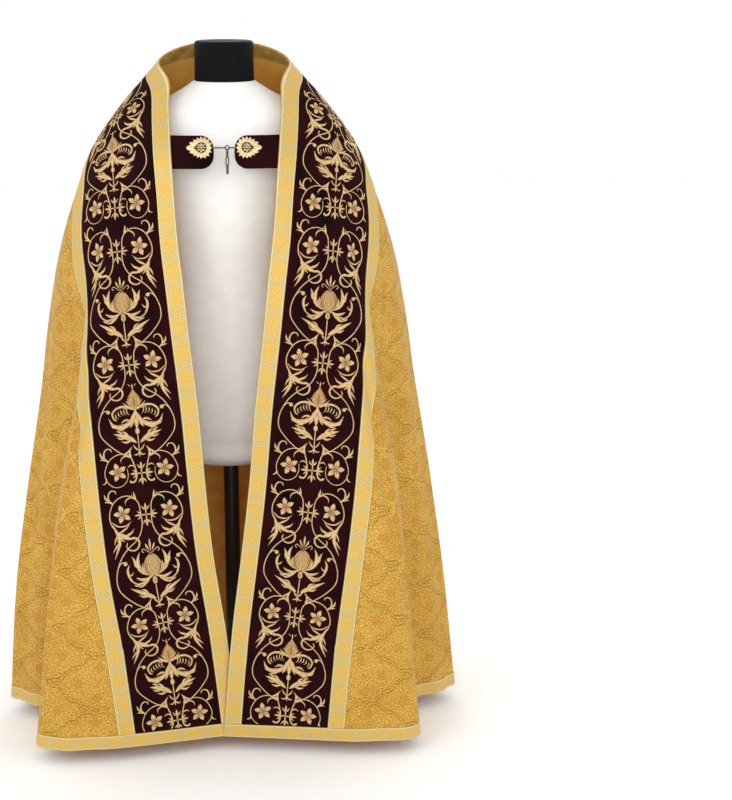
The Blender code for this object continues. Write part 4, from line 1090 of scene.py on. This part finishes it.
def pomegranate():
    half = [
        leaf([(1.5, 72), (6, 64), (9.5, 55.5)], 4.2, 0, 1.2, 0.62),
        stem([(2, 75), (8, 70), (14, 66), (17.5, 69.5), (14, 73)], 1.5, 2.2),
        # the upper leaves with two tips
        leaf([(11, 117), (22, 109), (28.5, 98), (28, 84), (22.5, 70.5)], 9.0, 0, 1.4, 0.48),
        leaf([(26, 103), (33, 95), (35, 86), (39, 76.5)], 6.6, 0, 1.3, 0.45),
        leaf([(17, 111), (20.5, 101), (18.5, 91)], 4.2, 0, 1.2, 0.4),
        leaf([(17, 113), (25, 103), (28, 90)], 2.0, 1, 2.0),
        # the lower curls
        stem([(3, 119.5), (13, 122), (25, 129), (37, 129), (48.5, 119), (51.5, 104), (47.5, 92.5)],
             4.0, 2.4, 0, 1.3),
        leaf([(44, 123), (50, 113), (51, 101), (46, 91)], 5.6, 0, 1.4, 0.5),
        leaf([(50.5, 111), (44.5, 111), (40, 105)], 3.6, 0, 1.1, 0.4),
        leaf([(7, 120), (17, 124), (28, 122), (37, 117)], 6.6, 0, 1.4, 0.4),
        leaf([(8, 121), (18, 129), (27, 135), (35, 136)], 6.6, 0, 1.4, 0.4),
        leaf([(27, 130), (36, 133), (43, 130)], 4.4),
        leaf([(6, 121), (18, 126), (32, 129)], 2.0, 1, 2.0),
        # the lance leaves on the stem
        leaf([(4, 164), (15, 157), (33, 146), (52, 135.5)], 9.6, 0, 1.4, 0.42),
        leaf([(18, 156), (28, 156.5), (37, 151)], 4.2), leaf([(17, 154), (22, 145), (31, 141)], 4.2),
        leaf([(8, 162), (21, 153), (42, 141)], 1.9, 1, 1.9),
        leaf([(1, 170), (8, 165), (13, 157)], 2.4), leaf([(0, 174), (6, 169), (8.5, 163)], 2.6),
        leaf([(0, 175), (5, 180), (10, 179)], 3.2),
        stem([(1, 119.5), (10, 116), (16, 107), (16.5, 97), (11.5, 85), (5, 79), (1, 78)], 2.2, 2.2, 0, 1.5),
        stem([(1.5, 118), (8.5, 105), (8.5, 92), (3, 80)], 1.7, 1.4, 0, 1.8),
        stem([(4, 117), (12.5, 104), (12, 92), (6, 81)], 1.0, 1.0, 0, 1.8),
        stem([(2.5, 118), (6, 105), (6, 92), (2, 81)], 0.9, 0.9, 2, 1.9),
    ]
    return mirrored(half) + [
        oval(0, 99, 16, 20.5), stem([(0, 118), (0, 99), (0, 80)], 1.6, 1.4, 0, 1.8),
        leaf([(0, 73), (0, 60), (0, 47)], 4.6, 0, 1.2, 0.62), bead(0, 75, 3.0, 2, 2.2),
        bead(0, 67, 1.6, 0, 1.8), oval(0, 128, 5.0, 7.5, 0, 1.5), oval(0, 128, 2.2, 4.4, 2, 1.9),
        stem([(0, 134), (0, 176)], 2.4, 2.4), leaf([(0, 170), (0, 185)], 4.2)]


def lily():
    half = [
        leaf([(10, 82), (17, 77), (23.5, 71.5)], 2.6), leaf([(11, 83), (19, 81), (26, 77)], 2.6),
        leaf([(11, 85), (18, 84.5), (25, 82.5)], 2.4), leaf([(8, 80), (12, 74), (17, 69)], 2.4),
        leaf([(3, 41), (6, 39), (8, 36)], 2.0),
        stem([(2, 87), (18, 80.5), (35, 82), (45.5, 92), (43.5, 103), (38, 107)], 6.2, 3.0, 0, 1.3),
        leaf([(2, 99), (14, 114), (31, 121.5), (46.5, 116.5), (54, 101)], 10.5, 0, 1.4, 0.40),
        leaf([(20, 118), (29, 126), (39, 126.5)], 5.0, 0, 1.2, 0.4),
        leaf([(36, 119), (45, 121), (51, 117)], 3.8),
        leaf([(12, 108), (22, 108), (31, 113)], 5.0, 0, 1.3, 0.4),
        leaf([(6, 104), (20, 114), (38, 116.5)], 2.2, 1, 2.0),
        leaf([(1, 92), (7, 104), (9, 116), (14, 125)], 7.0, 0, 1.6, 0.45),
        leaf([(3, 156), (16, 146), (31, 139), (48, 134)], 11.0, 0, 1.4, 0.45),
        leaf([(13, 149), (24, 153), (34, 150)], 5.4, 0, 1.2, 0.4), leaf([(24, 144), (34, 145), (42, 141)], 4.4),
        leaf([(18, 144), (24, 134), (32, 130)], 5.0, 0, 1.2, 0.4),
        leaf([(29, 139), (35, 131), (42, 128.5)], 4.2),
        leaf([(7, 153), (20, 144), (38, 137)], 2.2, 1, 2.0),
        leaf([(0, 172), (7, 166), (11, 158)], 3.4), leaf([(0, 174), (6, 179.5), (12, 178)], 3.4),
    ]
    for k in range(5):                    # ribs inside the curled petal
        x, y = 17 + 5.6 * k, 83.5 + (0, 0.3, 1.6, 4.6, 9.0)[k]
        half.append(leaf([(x, y), (x - 0.5, y + 8), (x - 5.5, y + 15 - 1.2 * k)], 2.5, 0, 1.0, 0.4))
    return mirrored(half) + [
        leaf([(0, 44), (0, 64), (0, 87)], 29, 1, 1.3, 0.66), leaf([(0, 36), (0, 50)], 3.0),
        leaf([(0, 56), (0, 84)], 7.0, 2, 1.9, 0.6), leaf([(-4, 62), (-9, 72), (-9, 82)], 3.0, 0, 1.8, 0.6),
        leaf([(4, 62), (9, 72), (9, 82)], 3.0, 0, 1.8, 0.6),
        leaf([(0, 84), (0, 106), (0, 129)], 11, 0, 1.8, 0.5), leaf([(0, 92), (0, 118)], 3.0, 2, 2.4),
        oval(0, 132, 4.6, 6.5, 0, 1.6), stem([(0, 136), (0, 174)], 2.4, 2.4), leaf([(0, 168), (0, 184)], 4.6)]


# in mm down the velvet: three pairs of scrolls to a repeat, with a pomegranate and a lily between them
orphreyDesign = {"start": 70, "repeat": 516, "scrolls": (0, 218, 434), "stretch": 1.022}


def orphreyStrokes(length):
    strokes = []
    for first in np.arange(orphreyDesign["start"], length * 1000, orphreyDesign["repeat"]):
        for k, down in enumerate(orphreyDesign["scrolls"]):
            strokes += moved(mirrored(scrollHalf(k == 2)) + fleurCross(0, 0, 22), dy=first + down)
        strokes += moved(pomegranate(), dy=first) + moved(lily(), dy=first + orphreyDesign["scrolls"][1])
    return [(line * (1, orphreyDesign["stretch"]), *rest) for line, *rest in strokes]


def stitchPieces(name, strokes, place, low, inside):
    # the strokes as raised satin stitch on a chart; place(x, y) gives side, u, z for metres
    vertices, faces, flats, shares, which = [], [], [], [], []
    base = 0
    for line, widths, thread, height in strokes:
        line, widths = line / 1000, widths / 2000
        keep = inside(line[:, 0], line[:, 1])
        if not keep.all():
            runs = np.split(np.arange(len(keep)), np.nonzero(np.diff(keep.astype(int)))[0] + 1)
            runs = [run for run in runs if keep[run[0]] and len(run) > 2]
            if not runs:
                continue
            run = max(runs, key=len)
            line, widths = line[run], widths[run]
        steps = np.gradient(line, axis=0)
        steps /= np.maximum(np.linalg.norm(steps, axis=1)[:, None], 1e-9)
        normal = np.stack((-steps[:, 1], steps[:, 0]), axis=1)
        spots = line[:, None] + normal[:, None] * (satinAcross[None, :, None] * widths[:, None, None])
        rise = np.minimum(height / 1000, widths * 1.3 + 0.0003)[:, None] * satinHeights
        rise[[0, -1]] *= 0.3
        vertices.append(raised(*place(spots[..., 0], spots[..., 1]), low + rise).reshape(-1, 3))
        along = runningLength(line)[:, None]
        flats.append(flatCut(satinAcross * widths[:, None], along).reshape(-1, 2))
        shares.append(flatCut(satinAcross, along / along[-1]).reshape(-1, 2))
        quads = gridFaces(*rise.shape)[:, [0, 3, 2, 1]] + base
        faces.append(quads)
        which.append(np.full(len(quads), thread))
        base += rise.size
    vertices, faces, flats, shares, which = (
        np.concatenate(part) for part in (vertices, faces, flats, shares, which))
    return addMesh(name, vertices, faces, {"flat": flats, "stitch": shares}, threads, which, closed=False)


for side in (-1, 1):
    hemDs = np.linspace(velvetStart, velvetStart + velvetWidth, 12)
    hemEnds = [edges[side].sAtZ(d, clothBottom) for d in hemDs]

    def onOrphrey(x, y, side=side):
        return (side, *edges[side].at(y, velvetMiddle + x))

    def overOrphrey(x, y):
        low = np.interp(x, hemDs - velvetMiddle, hemEnds) - stitchMargin["hem"]
        return (y < low) & (y > stitchMargin["neck"]) & (np.abs(x) < velvetWidth / 2 - stitchMargin["side"])

    dress(stitchPieces("orphreyEmbroidery" + labels[side], orphreyStrokes(edges[side].length), onOrphrey,
                       clothForm["velvetWall"] - 0.0001, overOrphrey), "velvet")
print("cope: orphreys embroidered")

# the hood's own design: eight flower scrolls and four crosses round a large rosette
hoodDesign = {"middleZ": 0.999, "scale": 0.93, "sideReach": 1.07, "rosette": 74, "lilyOut": 283,
              "lilyScale": 0.70}


def hoodScroll():
    # the scroll to the left of the top cross, in mm from the middle of the hood
    strokes = [
        stem([(-32, -188), (-20, -172), (-11, -150), (-16, -126), (-30, -105), (-50, -92), (-74, -90),
              (-86, -96)],
             2.8, 2.8),
        stem([(-103, -157), (-108, -142), (-107, -123), (-99, -105), (-86, -95), (-80, -85)], 3.0, 2.6),
        # the outer leaf that leaves upwards
        leaf([(-103, -155), (-90, -170), (-86, -188), (-96, -202), (-111, -220)], 10, 0, 1.4, 0.42),
        leaf([(-92, -168), (-83, -180), (-86, -194)], 5.2), leaf([(-92, -186), (-90, -200), (-98, -208)], 4.6),
        # the great acanthus leaf with its rolled tip
        leaf([(-104, -148), (-84, -157), (-62, -166), (-44, -180), (-36, -197)], 14, 0, 1.7, 0.60),
        leaf([(-74, -160), (-66, -150), (-52, -148)], 6.4, 0, 1.3, 0.4),
        leaf([(-62, -166), (-54, -157), (-42, -158)], 6.4, 0, 1.3, 0.4),
        leaf([(-66, -166), (-66, -178), (-60, -187)], 6.0, 0, 1.3, 0.4),
        leaf([(-52, -174), (-54, -185), (-50, -192)], 5.0, 0, 1.3, 0.4),
        leaf([(-90, -155), (-64, -166), (-46, -180)], 2.4, 1, 2.3),
        stem([(-36, -194), (-36, -208), (-46, -218), (-61, -217), (-70, -207), (-67, -196), (-58, -195),
              (-57, -202)],
             5.4, 3.4, 0, 1.7),
        # arcs over and under the flower
        leaf([(-101, -141), (-84, -150), (-66, -151), (-50, -143)], 3.8, 0, 1.1, 0.35),
        leaf([(-30, -106), (-25, -120), (-30, -134)], 5.2), leaf([(-45, -94), (-37, -104), (-36, -114)], 3.8),
        # the leaf over the crossing of two scrolls
        leaf([(-90, -100), (-84, -84), (-68, -66)], 9.0, 0, 1.6, 0.5),
        leaf([(-86, -88), (-94, -80), (-96, -72)], 5.0),
        leaf([(-82, -84), (-73, -84), (-66, -78)], 5.0), bead(-103, -93, 5.2, 0, 2.0),
    ]
    return strokes + flower(-65, -128, 25.5, 0.2)


def rosette(radius):
    strokes = []
    for k in range(10):
        turn = 2 * math.pi * k / 10
        out, over = compass(turn), compass(turn + math.pi / 2)
        # white petals edged with gold, and small gold leaves between their tips
        strokes.append(leaf([out * radius * 0.30, out * radius * 0.66, out * radius],
                            radius * 0.47, 3, 1.6, 0.58))
        for sign in (-1, 1):
            strokes.append(stem([out * radius * 0.34, out * radius * 0.60 + over * sign * radius * 0.215,
                                 out * radius * 0.82 + over * sign * radius * 0.165, out * radius * 1.03],
                                1.7, 1.7, 0, 2.4, 18))
            strokes.append(stem([out * radius * 0.40, out * radius * 0.64 + over * sign * radius * 0.07,
                                 out * radius * 0.86], 1.0, 0.8, 1, 2.2, 10))
        between = compass(turn + math.pi / 10)
        strokes.append(leaf([between * radius * 0.80, between * radius * 1.12], radius * 0.09, 0, 1.4, 0.55))
        strokes.append(bead(*(between * radius * 1.16), radius * 0.028, 1, 1.9))
    for share, width, thread in ((0.33, 3.4, 0), (0.27, 2.2, 1)):
        ring = [share * radius * compass(a) for a in np.linspace(0, 2 * math.pi, 25)]
        strokes.append(stem(ring, width, width, thread, 3.0, 64))
    for k in range(8):
        out = compass(2 * math.pi * k / 8)
        strokes.append(leaf([out * radius * 0.03, out * radius * 0.25], radius * 0.10, 2 if k % 2 else 1, 3.0))
    return strokes + [bead(0, 0, radius * 0.06, 0, 4.0)]


def hoodStrokes():
    look = hoodDesign
    quarter = moved(mirrored(hoodScroll()) + fleurCross(0, -136, 33, 4.2), scale=look["scale"])
    strokes = rosette(look["rosette"])
    for k in range(4):
        turned = moved(quarter, turn=k * math.pi / 2)
        if k % 2:
            turned = [(line * (look["sideReach"], 1), *rest) for line, *rest in turned]
        strokes += turned
    for degrees in (50, 130, 230, 310):
        strokes += moved(moved(lily(), 0, -look["lilyOut"], 0, look["lilyScale"]), turn=math.radians(degrees))
    fruit = [stroke for stroke in pomegranate()
             if 76 < stroke[0][:, 1].mean() < 119 and abs(stroke[0][:, 0]).max() < 18]
    return strokes + moved(fruit, 0, 72, 0, 1.2)


def onHood(x, y):
    return hoodSpot(x, hoodDesign["middleZ"] - y)


def overHood(x, y):
    x, z, margin = np.abs(x), hoodDesign["middleZ"] - y, stitchMargin["hood"]
    inside = (x < hood["halfWidth"] - margin) & (z < np.interp(x, topArcs, hoodTops[1]) - margin)
    cornerX = np.maximum(x - (hood["halfWidth"] - hood["corner"]), 0)
    cornerZ = np.maximum(hood["bottomZ"] + hood["corner"] - z, 0)
    return inside & (z > hood["bottomZ"] + margin) & (np.hypot(cornerX, cornerZ) < hood["corner"] - margin)


dress(stitchPieces("hoodEmbroidery", hoodStrokes(), onHood, hoodLow + hood["wall"] + 0.0004, overHood),
      "velvet")

# the fringe: a woven heading and loose twisted strands
random = np.random.default_rng(11)
shares = crownShares(2, 0.08)
spot, near, far = hoodBand(hood["galloon"] + 2 * clothForm["seam"], hood["strip"], grid["fringe"], shares)
height = hoodLow + 0.0016 * crown(shares, hood["strip"], 0.8)
sewSheet("fringeHeading", 0, "fringe", None, spot, height, hoodLow,
         flatCut(shares * hood["strip"], runningLength(far)[:, None]), "fringe", "fringe")


def ringsRound(centres, radii, out, over, sides):
    # a ring of points round each centre
    angles = np.linspace(0, 2 * math.pi, sides, endpoint=False)[None, :, None]
    radii = np.asarray(radii).reshape(-1, 1, 1)
    return centres[:, None] + radii * (np.cos(angles) * out[:, None] + np.sin(angles) * over[:, None])


def fringeStrands():
    sides, rings, inset = 5, 9, 0.004
    vertices, faces, flats = [], [], []
    t = np.linspace(0, 1, rings)
    along = runningLength(far)
    even = np.linspace(inset, along[-1] - inset, hood["strands"])
    roots, inner = (np.stack([np.interp(even, along, line[:, k]) for k in (0, 1)], axis=1)
                    for line in (far, near))
    for k, (root, out) in enumerate(zip(roots, unit(roots - inner))):
        heading = unit(0.46 * out + (random.normal(0, 0.07), 0.90))
        length = hood["fringeLength"] * (1 + random.normal(0, 0.035))
        sway = random.normal(0, 0.0016)
        x, y = (root - out * 0.003 + heading * length * t[:, None]).T
        radii = 0.00095 * (1 + 0.12 * np.sin(t * 20 + k)) * np.where(t > 0.97, 0.5, 1.0)
        spot = hoodPlace(x + sway * np.sin(t * math.pi), y / hoodHeight)
        middle = raised(*spot, hoodLow + 0.0011 + 0.0010 * (k % 2))
        up = unit(raised(*spot, hoodLow + 0.01) - middle)
        vertices.append(ringsRound(middle, radii, up, np.cross(unit(np.gradient(middle, axis=0)), up), sides))
        flats.append(flatCut(np.arange(sides) * 0.0012, (t * length)[:, None]))
        index = np.arange(rings * sides).reshape(rings, sides) + k * rings * sides
        faces += (gridFaces(rings, sides, loopCols=True) + index[0, 0]).tolist() + index[[0, -1]].tolist()
    return addMesh("hoodFringe", np.concatenate(vertices).reshape(-1, 3), faces,
                   {"flat": np.concatenate(flats)}, ["fringe"], sharp=70)


dress(fringeStrands(), "fringe", "hood_fringe")
print("cope: hood embroidered and fringed")

# The clasp
clasp = {"topZ": 1.264, "bottomZ": 1.201, "corner": 0.026, "tuck": 0.012, "wall": 0.0022, "drop": 0.0010,
         "z": 1.2405, "endX": {-1: 0.0235, 1: 0.0175}, "leafLength": 0.055, "leafCast": 0.0272,
         "wire": 0.0013, "ring": 0.0042, "linkLength": 0.0195, "linkWidth": 0.0082, "hookWidth": 0.0062,
         "linkTwist": 28}


def claspSpot(x, z):
    side = np.where(np.asarray(x) >= 0, 1, -1)
    side, x, z = np.broadcast_arrays(side, np.abs(x), z)
    u = np.empty(x.shape)
    for k in np.ndindex(x.shape):
        u[k] = uAtX(int(side[k]), float(x[k]), float(z[k]))
    return side, u, z


for side in (-1, 1):
    middle, half = (clasp["topZ"] + clasp["bottomZ"]) / 2, (clasp["topZ"] - clasp["bottomZ"]) / 2
    edgeU = edges[side].at(edges[side].sAtZ(0.0, middle), 0.0)[0]
    rootX = abs(raised(side, edgeU, middle, 0.0)[0] - standMiddle[0]) + clasp["tuck"]
    freeX = clasp["endX"][side]
    t = np.concatenate((np.linspace(0, 0.7, 12), np.linspace(0.7, 1, 22)[1:]))
    x = rootX + t * (freeX - rootX)
    into = np.clip(clasp["corner"] - (x - freeX), 0, clasp["corner"])
    height = half - clasp["corner"] + np.sqrt(clasp["corner"] ** 2 - into ** 2)
    shares = crownShares(8, 0.03)
    spot = claspSpot(side * x[:, None], middle + (2 * shares - 1) * height[:, None])
    low = -clasp["drop"] - clasp["wall"]
    sewSheet("claspStrap", side, "velvet", "clasp_strap", spot, low + clasp["wall"] * crown(shares, 0.062, 2.0),
             low, flatCut(spot[0] * x[:, None], spot[2]), "velvet", "velvet")


def leafStrokes():
    # a cast leaf in mm, its tip at -27 in x: scalloped rim, a ring of curls and a small flower
    strokes = []
    turns = np.linspace(0, 2 * math.pi, 16, endpoint=False)
    reach = np.interp(np.abs(np.where(turns > math.pi, turns - 2 * math.pi, turns)),
                      (0, 0.7, 1.2, 1.7, 2.3, 2.8, math.pi), (21.5, 22.0, 21.0, 20.0, 20.5, 25.0, 30.0))
    middle = np.array((3.0, 0.0))
    for turn, far in zip(turns, reach):
        out = np.array((math.cos(turn), math.sin(turn)))
        over = np.array((-out[1], out[0]))
        strokes.append(leaf([middle + out * far * 0.42, middle + out * far * 0.7, middle + out * far * 1.04],
                            far * 0.38, 0, 2.2, 0.46))
        # strokes of thread 1 stand for the leaf's gaps and take its painted shade finish
        strokes.append(bead(*(middle + out * far * 0.70 + over * far * 0.155), 0.9, 1, 2.9))
        strokes.append(stem([middle + out * far * 0.56 - over * far * 0.2, middle + out * far * 0.64,
                             middle + out * far * 0.56 + over * far * 0.2], 1.5, 1.5, 0, 3.0, 9))
    for k in range(6):
        turn = 2 * math.pi * (k + 0.5) / 6
        strokes.append(bead(3 + 10.8 * math.cos(turn), 10.0 * math.sin(turn), 1.3, 1, 2.6))
    for k in range(8):
        turn = 2 * math.pi * k / 8
        out = np.array((math.cos(turn), math.sin(turn)))
        strokes.append(leaf([(3, 0) + out * 1.5, (3, 0) + out * 9.5], 4.4, 0, 2.8, 0.6))
        strokes.append(leaf([(3, 0) + out * 3, (3, 0) + out * 7.5], 0.9, 1, 3.2, 0.5))
    for sign in (-1, 1):
        for curl, end in (([(-6, 3), (-13, 9), (-8, 14), (0, 13.5), (-1, 10)], 1.9),
                          ([(-8, 2), (-16, 5), (-20, 1.5)], 1.6),
                          ([(12, 3), (18, 8), (14, 13), (8, 12)], 1.8)):
            strokes.append(stem([(x, sign * y) for x, y in curl], 1.6, end, 0, 2.8))
    return strokes + [leaf([(-8, 0), (-26, 0)], 3.0, 0, 2.9, 0.4), bead(3, 0, 2.4, 0, 3.6)]


for side in (-1, 1):
    centreX = side * (clasp["endX"][side] + clasp["leafLength"] / 2)

    def onStrap(x, y, side=side, centreX=centreX):
        return claspSpot(centreX - side * x, clasp["z"] + y)

    piece = stitchPieces("claspLeaf" + labels[side], leafStrokes(), onStrap, clothForm["seam"] - clasp["drop"],
                         lambda x, y: np.abs(x) < clasp["leafCast"])
    # the pale cast gold, and a painted shade finish for the gaps between its parts
    piece.data.materials.clear()
    for finish in ("leaf", "leafShade"):
        piece.data.materials.append(finishes[finish])
    dress(piece, "leaf", "clasp_leaf_" + labels[side].lower())


def wireLoop(name, node, route, body="cope"):
    sides = 12
    route = np.array(route)
    ahead = unit(np.roll(route, -1, axis=0) - np.roll(route, 1, axis=0))
    over = unit(np.cross(route[1] - route[0], route[3] - route[1])) + 0 * route
    vertices = ringsRound(route, clasp["wire"], np.cross(ahead, over), over, sides)
    flat = flatCut(np.arange(sides) * 0.0004, np.arange(len(route))[:, None] * 0.001)
    faces = gridFaces(len(route), sides, True, True)
    piece = addMesh(name, vertices.reshape(-1, 3), faces, {"flat": flat}, ["wire"])
    return dress(piece, "wire", node, body=body)


def linkRoute(centre, length, width, longAxis, wideAxis):
    radius = width / 2
    route = []
    for end in (1, -1):
        for angle in np.linspace(-math.pi / 2, math.pi / 2, 16):
            route.append(centre + end * (length / 2 - radius + radius * math.cos(angle)) * longAxis
                         + end * radius * math.sin(angle) * wideAxis)
    return route


xAxis, yAxis, zAxis = np.eye(3)
wireLoop("claspRing", "clasp_ring", [
    np.mean(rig.box("clasp_ring"), axis=0) + clasp["ring"] * (math.cos(a) * xAxis + math.sin(a) * zAxis)
    for a in np.linspace(0, 2 * math.pi, 40, endpoint=False)])
for name, node in (("claspLinkLeft", "clasp_link_left"), ("claspHook", "clasp_hook")):
    low, high = np.array(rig.box(node))
    wireLoop(name, node, linkRoute((low + high) / 2, high[0] - low[0] - 2 * clasp["wire"], clasp["hookWidth"],
                                   xAxis, yAxis))
twist = math.radians(clasp["linkTwist"])  # the chain hangs a little turned, so that every link shows its shape
linkAxes = (math.sin(twist) * xAxis + math.cos(twist) * yAxis,
            math.cos(twist) * xAxis - math.sin(twist) * yAxis)
for k in range(3):
    node = f"chain_link_{k + 1}"
    wireLoop(f"chainLink{k + 1}", node, linkRoute(
        np.mean(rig.box(node), axis=0), clasp["linkLength"] - 2 * clasp["wire"],
        clasp["linkWidth"] - 2 * clasp["wire"], zAxis, linkAxes[k % 2]), body="chain")
print("cope: clasp made")

# The dress form
form = {
    # z, half width, front y, back y
    "torso": ((0.5600, 0.080, -0.060, 0.060), (0.5700, 0.120, -0.088, 0.088), (0.6200, 0.152, -0.106, 0.108),
              (0.7200, 0.166, -0.112, 0.116), (0.8600, 0.156, -0.112, 0.104), (0.9800, 0.146, -0.112, 0.096),
              (1.1000, 0.164, -0.126, 0.112), (1.2000, 0.184, -0.122, 0.126), (1.2600, 0.196, -0.106, 0.122),
              (1.2900, 0.192, -0.092, 0.116), (1.3100, 0.158, -0.082, 0.106), (1.3300, 0.112, -0.072, 0.088),
              (1.3480, 0.080, -0.065, 0.074), (1.3600, 0.0625, -0.0615, 0.0615)),
    "clearance": 0.0066, "neck": 0.0605, "neckLow": 1.3603, "neckTop": 1.440, "pole": 0.016, "poleTop": 0.5597,
    "base": 0.150, "baseHeight": 0.016,
}


def addRings(name, rings, finish, node, slotName, flatScale=0.45):
    # rings of points joined one to the next, closed with a point in the middle of each end
    rings = np.array(rings)
    rows, cols = rings.shape[:2]
    vertices = np.concatenate((rings.reshape(-1, 3), [rings[0].mean(axis=0), rings[-1].mean(axis=0)]))
    faces = gridFaces(rows, cols, loopCols=True).tolist()
    for c in range(cols):
        n = (c + 1) % cols
        faces += [(c, n, rows * cols), ((rows - 1) * cols + n, (rows - 1) * cols + c, rows * cols + 1)]
    lengths = runningLength(rings[:, 0])
    flat = flatCut(np.abs(np.linspace(-1, 1, cols)) * flatScale, lengths[:, None]).reshape(-1, 2)
    flat = np.concatenate((flat, [(0, 0), (0, lengths[-1])]))
    return dress(addMesh(name, vertices, faces, {"flat": flat}, [finish], sharp=35), slotName, node)


rows = np.array(form["torso"])
levels = np.unique(np.round(np.concatenate((rows[:, 0], np.linspace(0.58, 1.355, 80))), 4))
turns = np.linspace(0, 2 * math.pi, 96, endpoint=False)
rings = []
for z in levels:
    width, front, back = (float(smoothCurve(z, rows[:, 0], rows[:, k])) for k in (1, 2, 3))
    us = np.linspace(0, 9.6, grid["ring"])
    ring = readGrid(cloth[1]["points"], us, np.full(len(us), z))[:, :2]
    x, y = width * np.sin(turns), np.cos(turns) * np.where(np.cos(turns) > 0, back, -front)
    limit = np.interp(np.abs(np.arctan2(x, y)), np.arctan2(ring[:, 0], ring[:, 1]),
                      np.linalg.norm(ring, axis=1))
    scale = np.minimum(1, (limit - form["clearance"]) / np.hypot(x, y))
    rings.append(np.stack((x * scale, y * scale, 0 * x + z), axis=1) + standMiddle)
addRings("formTorso", rings, "jersey", "form_torso", "jersey")


def turned(name, profile, finish, node, slotName, sides=96):
    angles = np.linspace(0, 2 * math.pi, sides, endpoint=False)
    rings = [np.stack((r * np.cos(angles), r * np.sin(angles), 0 * angles + z), axis=1) + standMiddle
             for r, z in profile]
    return addRings(name, rings, finish, node, slotName, max(r for r, _ in profile) * math.pi)


neckRadius, neckTop = form["neck"], form["neckTop"]
turned("formNeck", [(neckRadius, form["neckLow"]), (neckRadius * 0.992, 1.388), (neckRadius * 0.985, 1.405),
                    (neckRadius * 0.99, 1.420), (neckRadius, 1.432), (neckRadius - 0.0008, 1.4355),
                    (neckRadius - 0.003, 1.4388), (neckRadius - 0.0065, neckTop), (neckRadius * 0.5, neckTop)],
       "neck", "form_neck", "neck")
turned("formPole", [(form["pole"], form["baseHeight"] + 0.0003), (form["pole"], form["poleTop"])], "stand",
       "form_pole", "stand", 48)
base, baseHeight = form["base"], form["baseHeight"]
turned("formBase", [(base - 0.0015, 0.0), (base, 0.0015), (base, 0.0085), (base - 0.0012, 0.0120),
                    (base - 0.0040, 0.0144), (base - 0.0120, baseHeight), (base * 0.5, baseHeight)],
       "stand", "form_base", "stand", 128)
print("cope: dress form made")

# Which pieces are cloth, what each rests on and what is sewn to it
restsOn = {"hoodVelvet": "brocadeBack", "hoodGalloon": "brocadeBack", "fringeHeading": "brocadeBack",
           "claspStrapLeft": "orphreyVelvetLeft", "claspStrapRight": "orphreyVelvetRight"}
sewnOn = {"orphreyVelvetLeft": "orphreyEmbroideryLeft", "orphreyVelvetRight": "orphreyEmbroideryRight",
          "hoodVelvet": "hoodEmbroidery", "fringeHeading": "hoodFringe"}
for name, (piece, outer) in sheets.items():
    declareSheet(piece, outer, [restsOn.get(name, "formTorso")],
                 [bpy.data.objects[sewnOn[name]]] if name in sewnOn else ())

# Floor, light and camera
floorMesh = bpy.data.meshes.new("studioFloor")
floorMesh.from_pydata([(9 * x, 9 * y, 0) for x, y in ((-1, -1), (1, -1), (1, 1), (-1, 1))], [], [(0, 1, 2, 3)])
studioFloor = addObject("studioFloor", floorMesh)
paint = {"Roughness": 0.8, "Base Color": linear("#FFFFFF")}
floorMesh.materials.append(startMaterial("palePaintedFloor", paint)[0])
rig.stage(studioFloor)

world = bpy.data.worlds.new("studio")
bpy.context.scene.world = world
world.use_nodes = True
world.node_tree.nodes["Background"].inputs["Color"].default_value = (1, 1, 1, 1)
world.node_tree.nodes["Background"].inputs["Strength"].default_value = 1.0
bpy.context.scene.view_settings.view_transform = "Standard"

for name, place, aim, size, watts in (
        ("keyLight", (-2.2, -3.2, 3.0), (0, 0, 0.9), 1.8, 26),
        ("frontLight", (0.1, -4.6, 2.3), (0, 0, 1.1), 2.0, 30),
        ("fillLight", (2.8, -2.6, 1.8), (0, 0, 0.8), 2.4, 8),
        ("backLight", (0.5, 3.4, 2.8), (0, 0, 0.9), 2.2, 24)):
    data = bpy.data.lights.new(name, "AREA")
    data.shape, data.size, data.energy = "DISK", size, watts
    lamp = addObject(name, data)
    lamp.location = place
    ahead = np.array(aim) - np.array(place)
    lamp.rotation_euler = (math.acos(-ahead[2] / np.linalg.norm(ahead)), 0,
                           math.atan2(ahead[1], ahead[0]) - math.pi / 2)

view = {"distance": 3.6, "frontY": -0.275, "height": 1.64, "pitch": 13.78, "focalPx": 1880, "offsetPx": 140}
lens = bpy.data.cameras.new("studioCamera")
lens.sensor_width, lens.lens = 36.0, view["focalPx"] / 800 * 36.0
camera = addObject("studioCamera", lens)
camera.location = (0.0, view["frontY"] - view["distance"], view["height"])
camera.rotation_euler = (math.radians(90 - view["pitch"]), 0, -math.atan(view["offsetPx"] / view["focalPx"]))
lens.clip_start, lens.clip_end = 0.05, 60
bpy.context.scene.camera = camera

dressedBox = [[float(v) for v in corner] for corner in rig.bounds()]
with open("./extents.json", "w") as out:
    json.dump({"cad": cadBox, "visual": dressedBox}, out)
print("cope: boxes", cadBox, dressedBox)
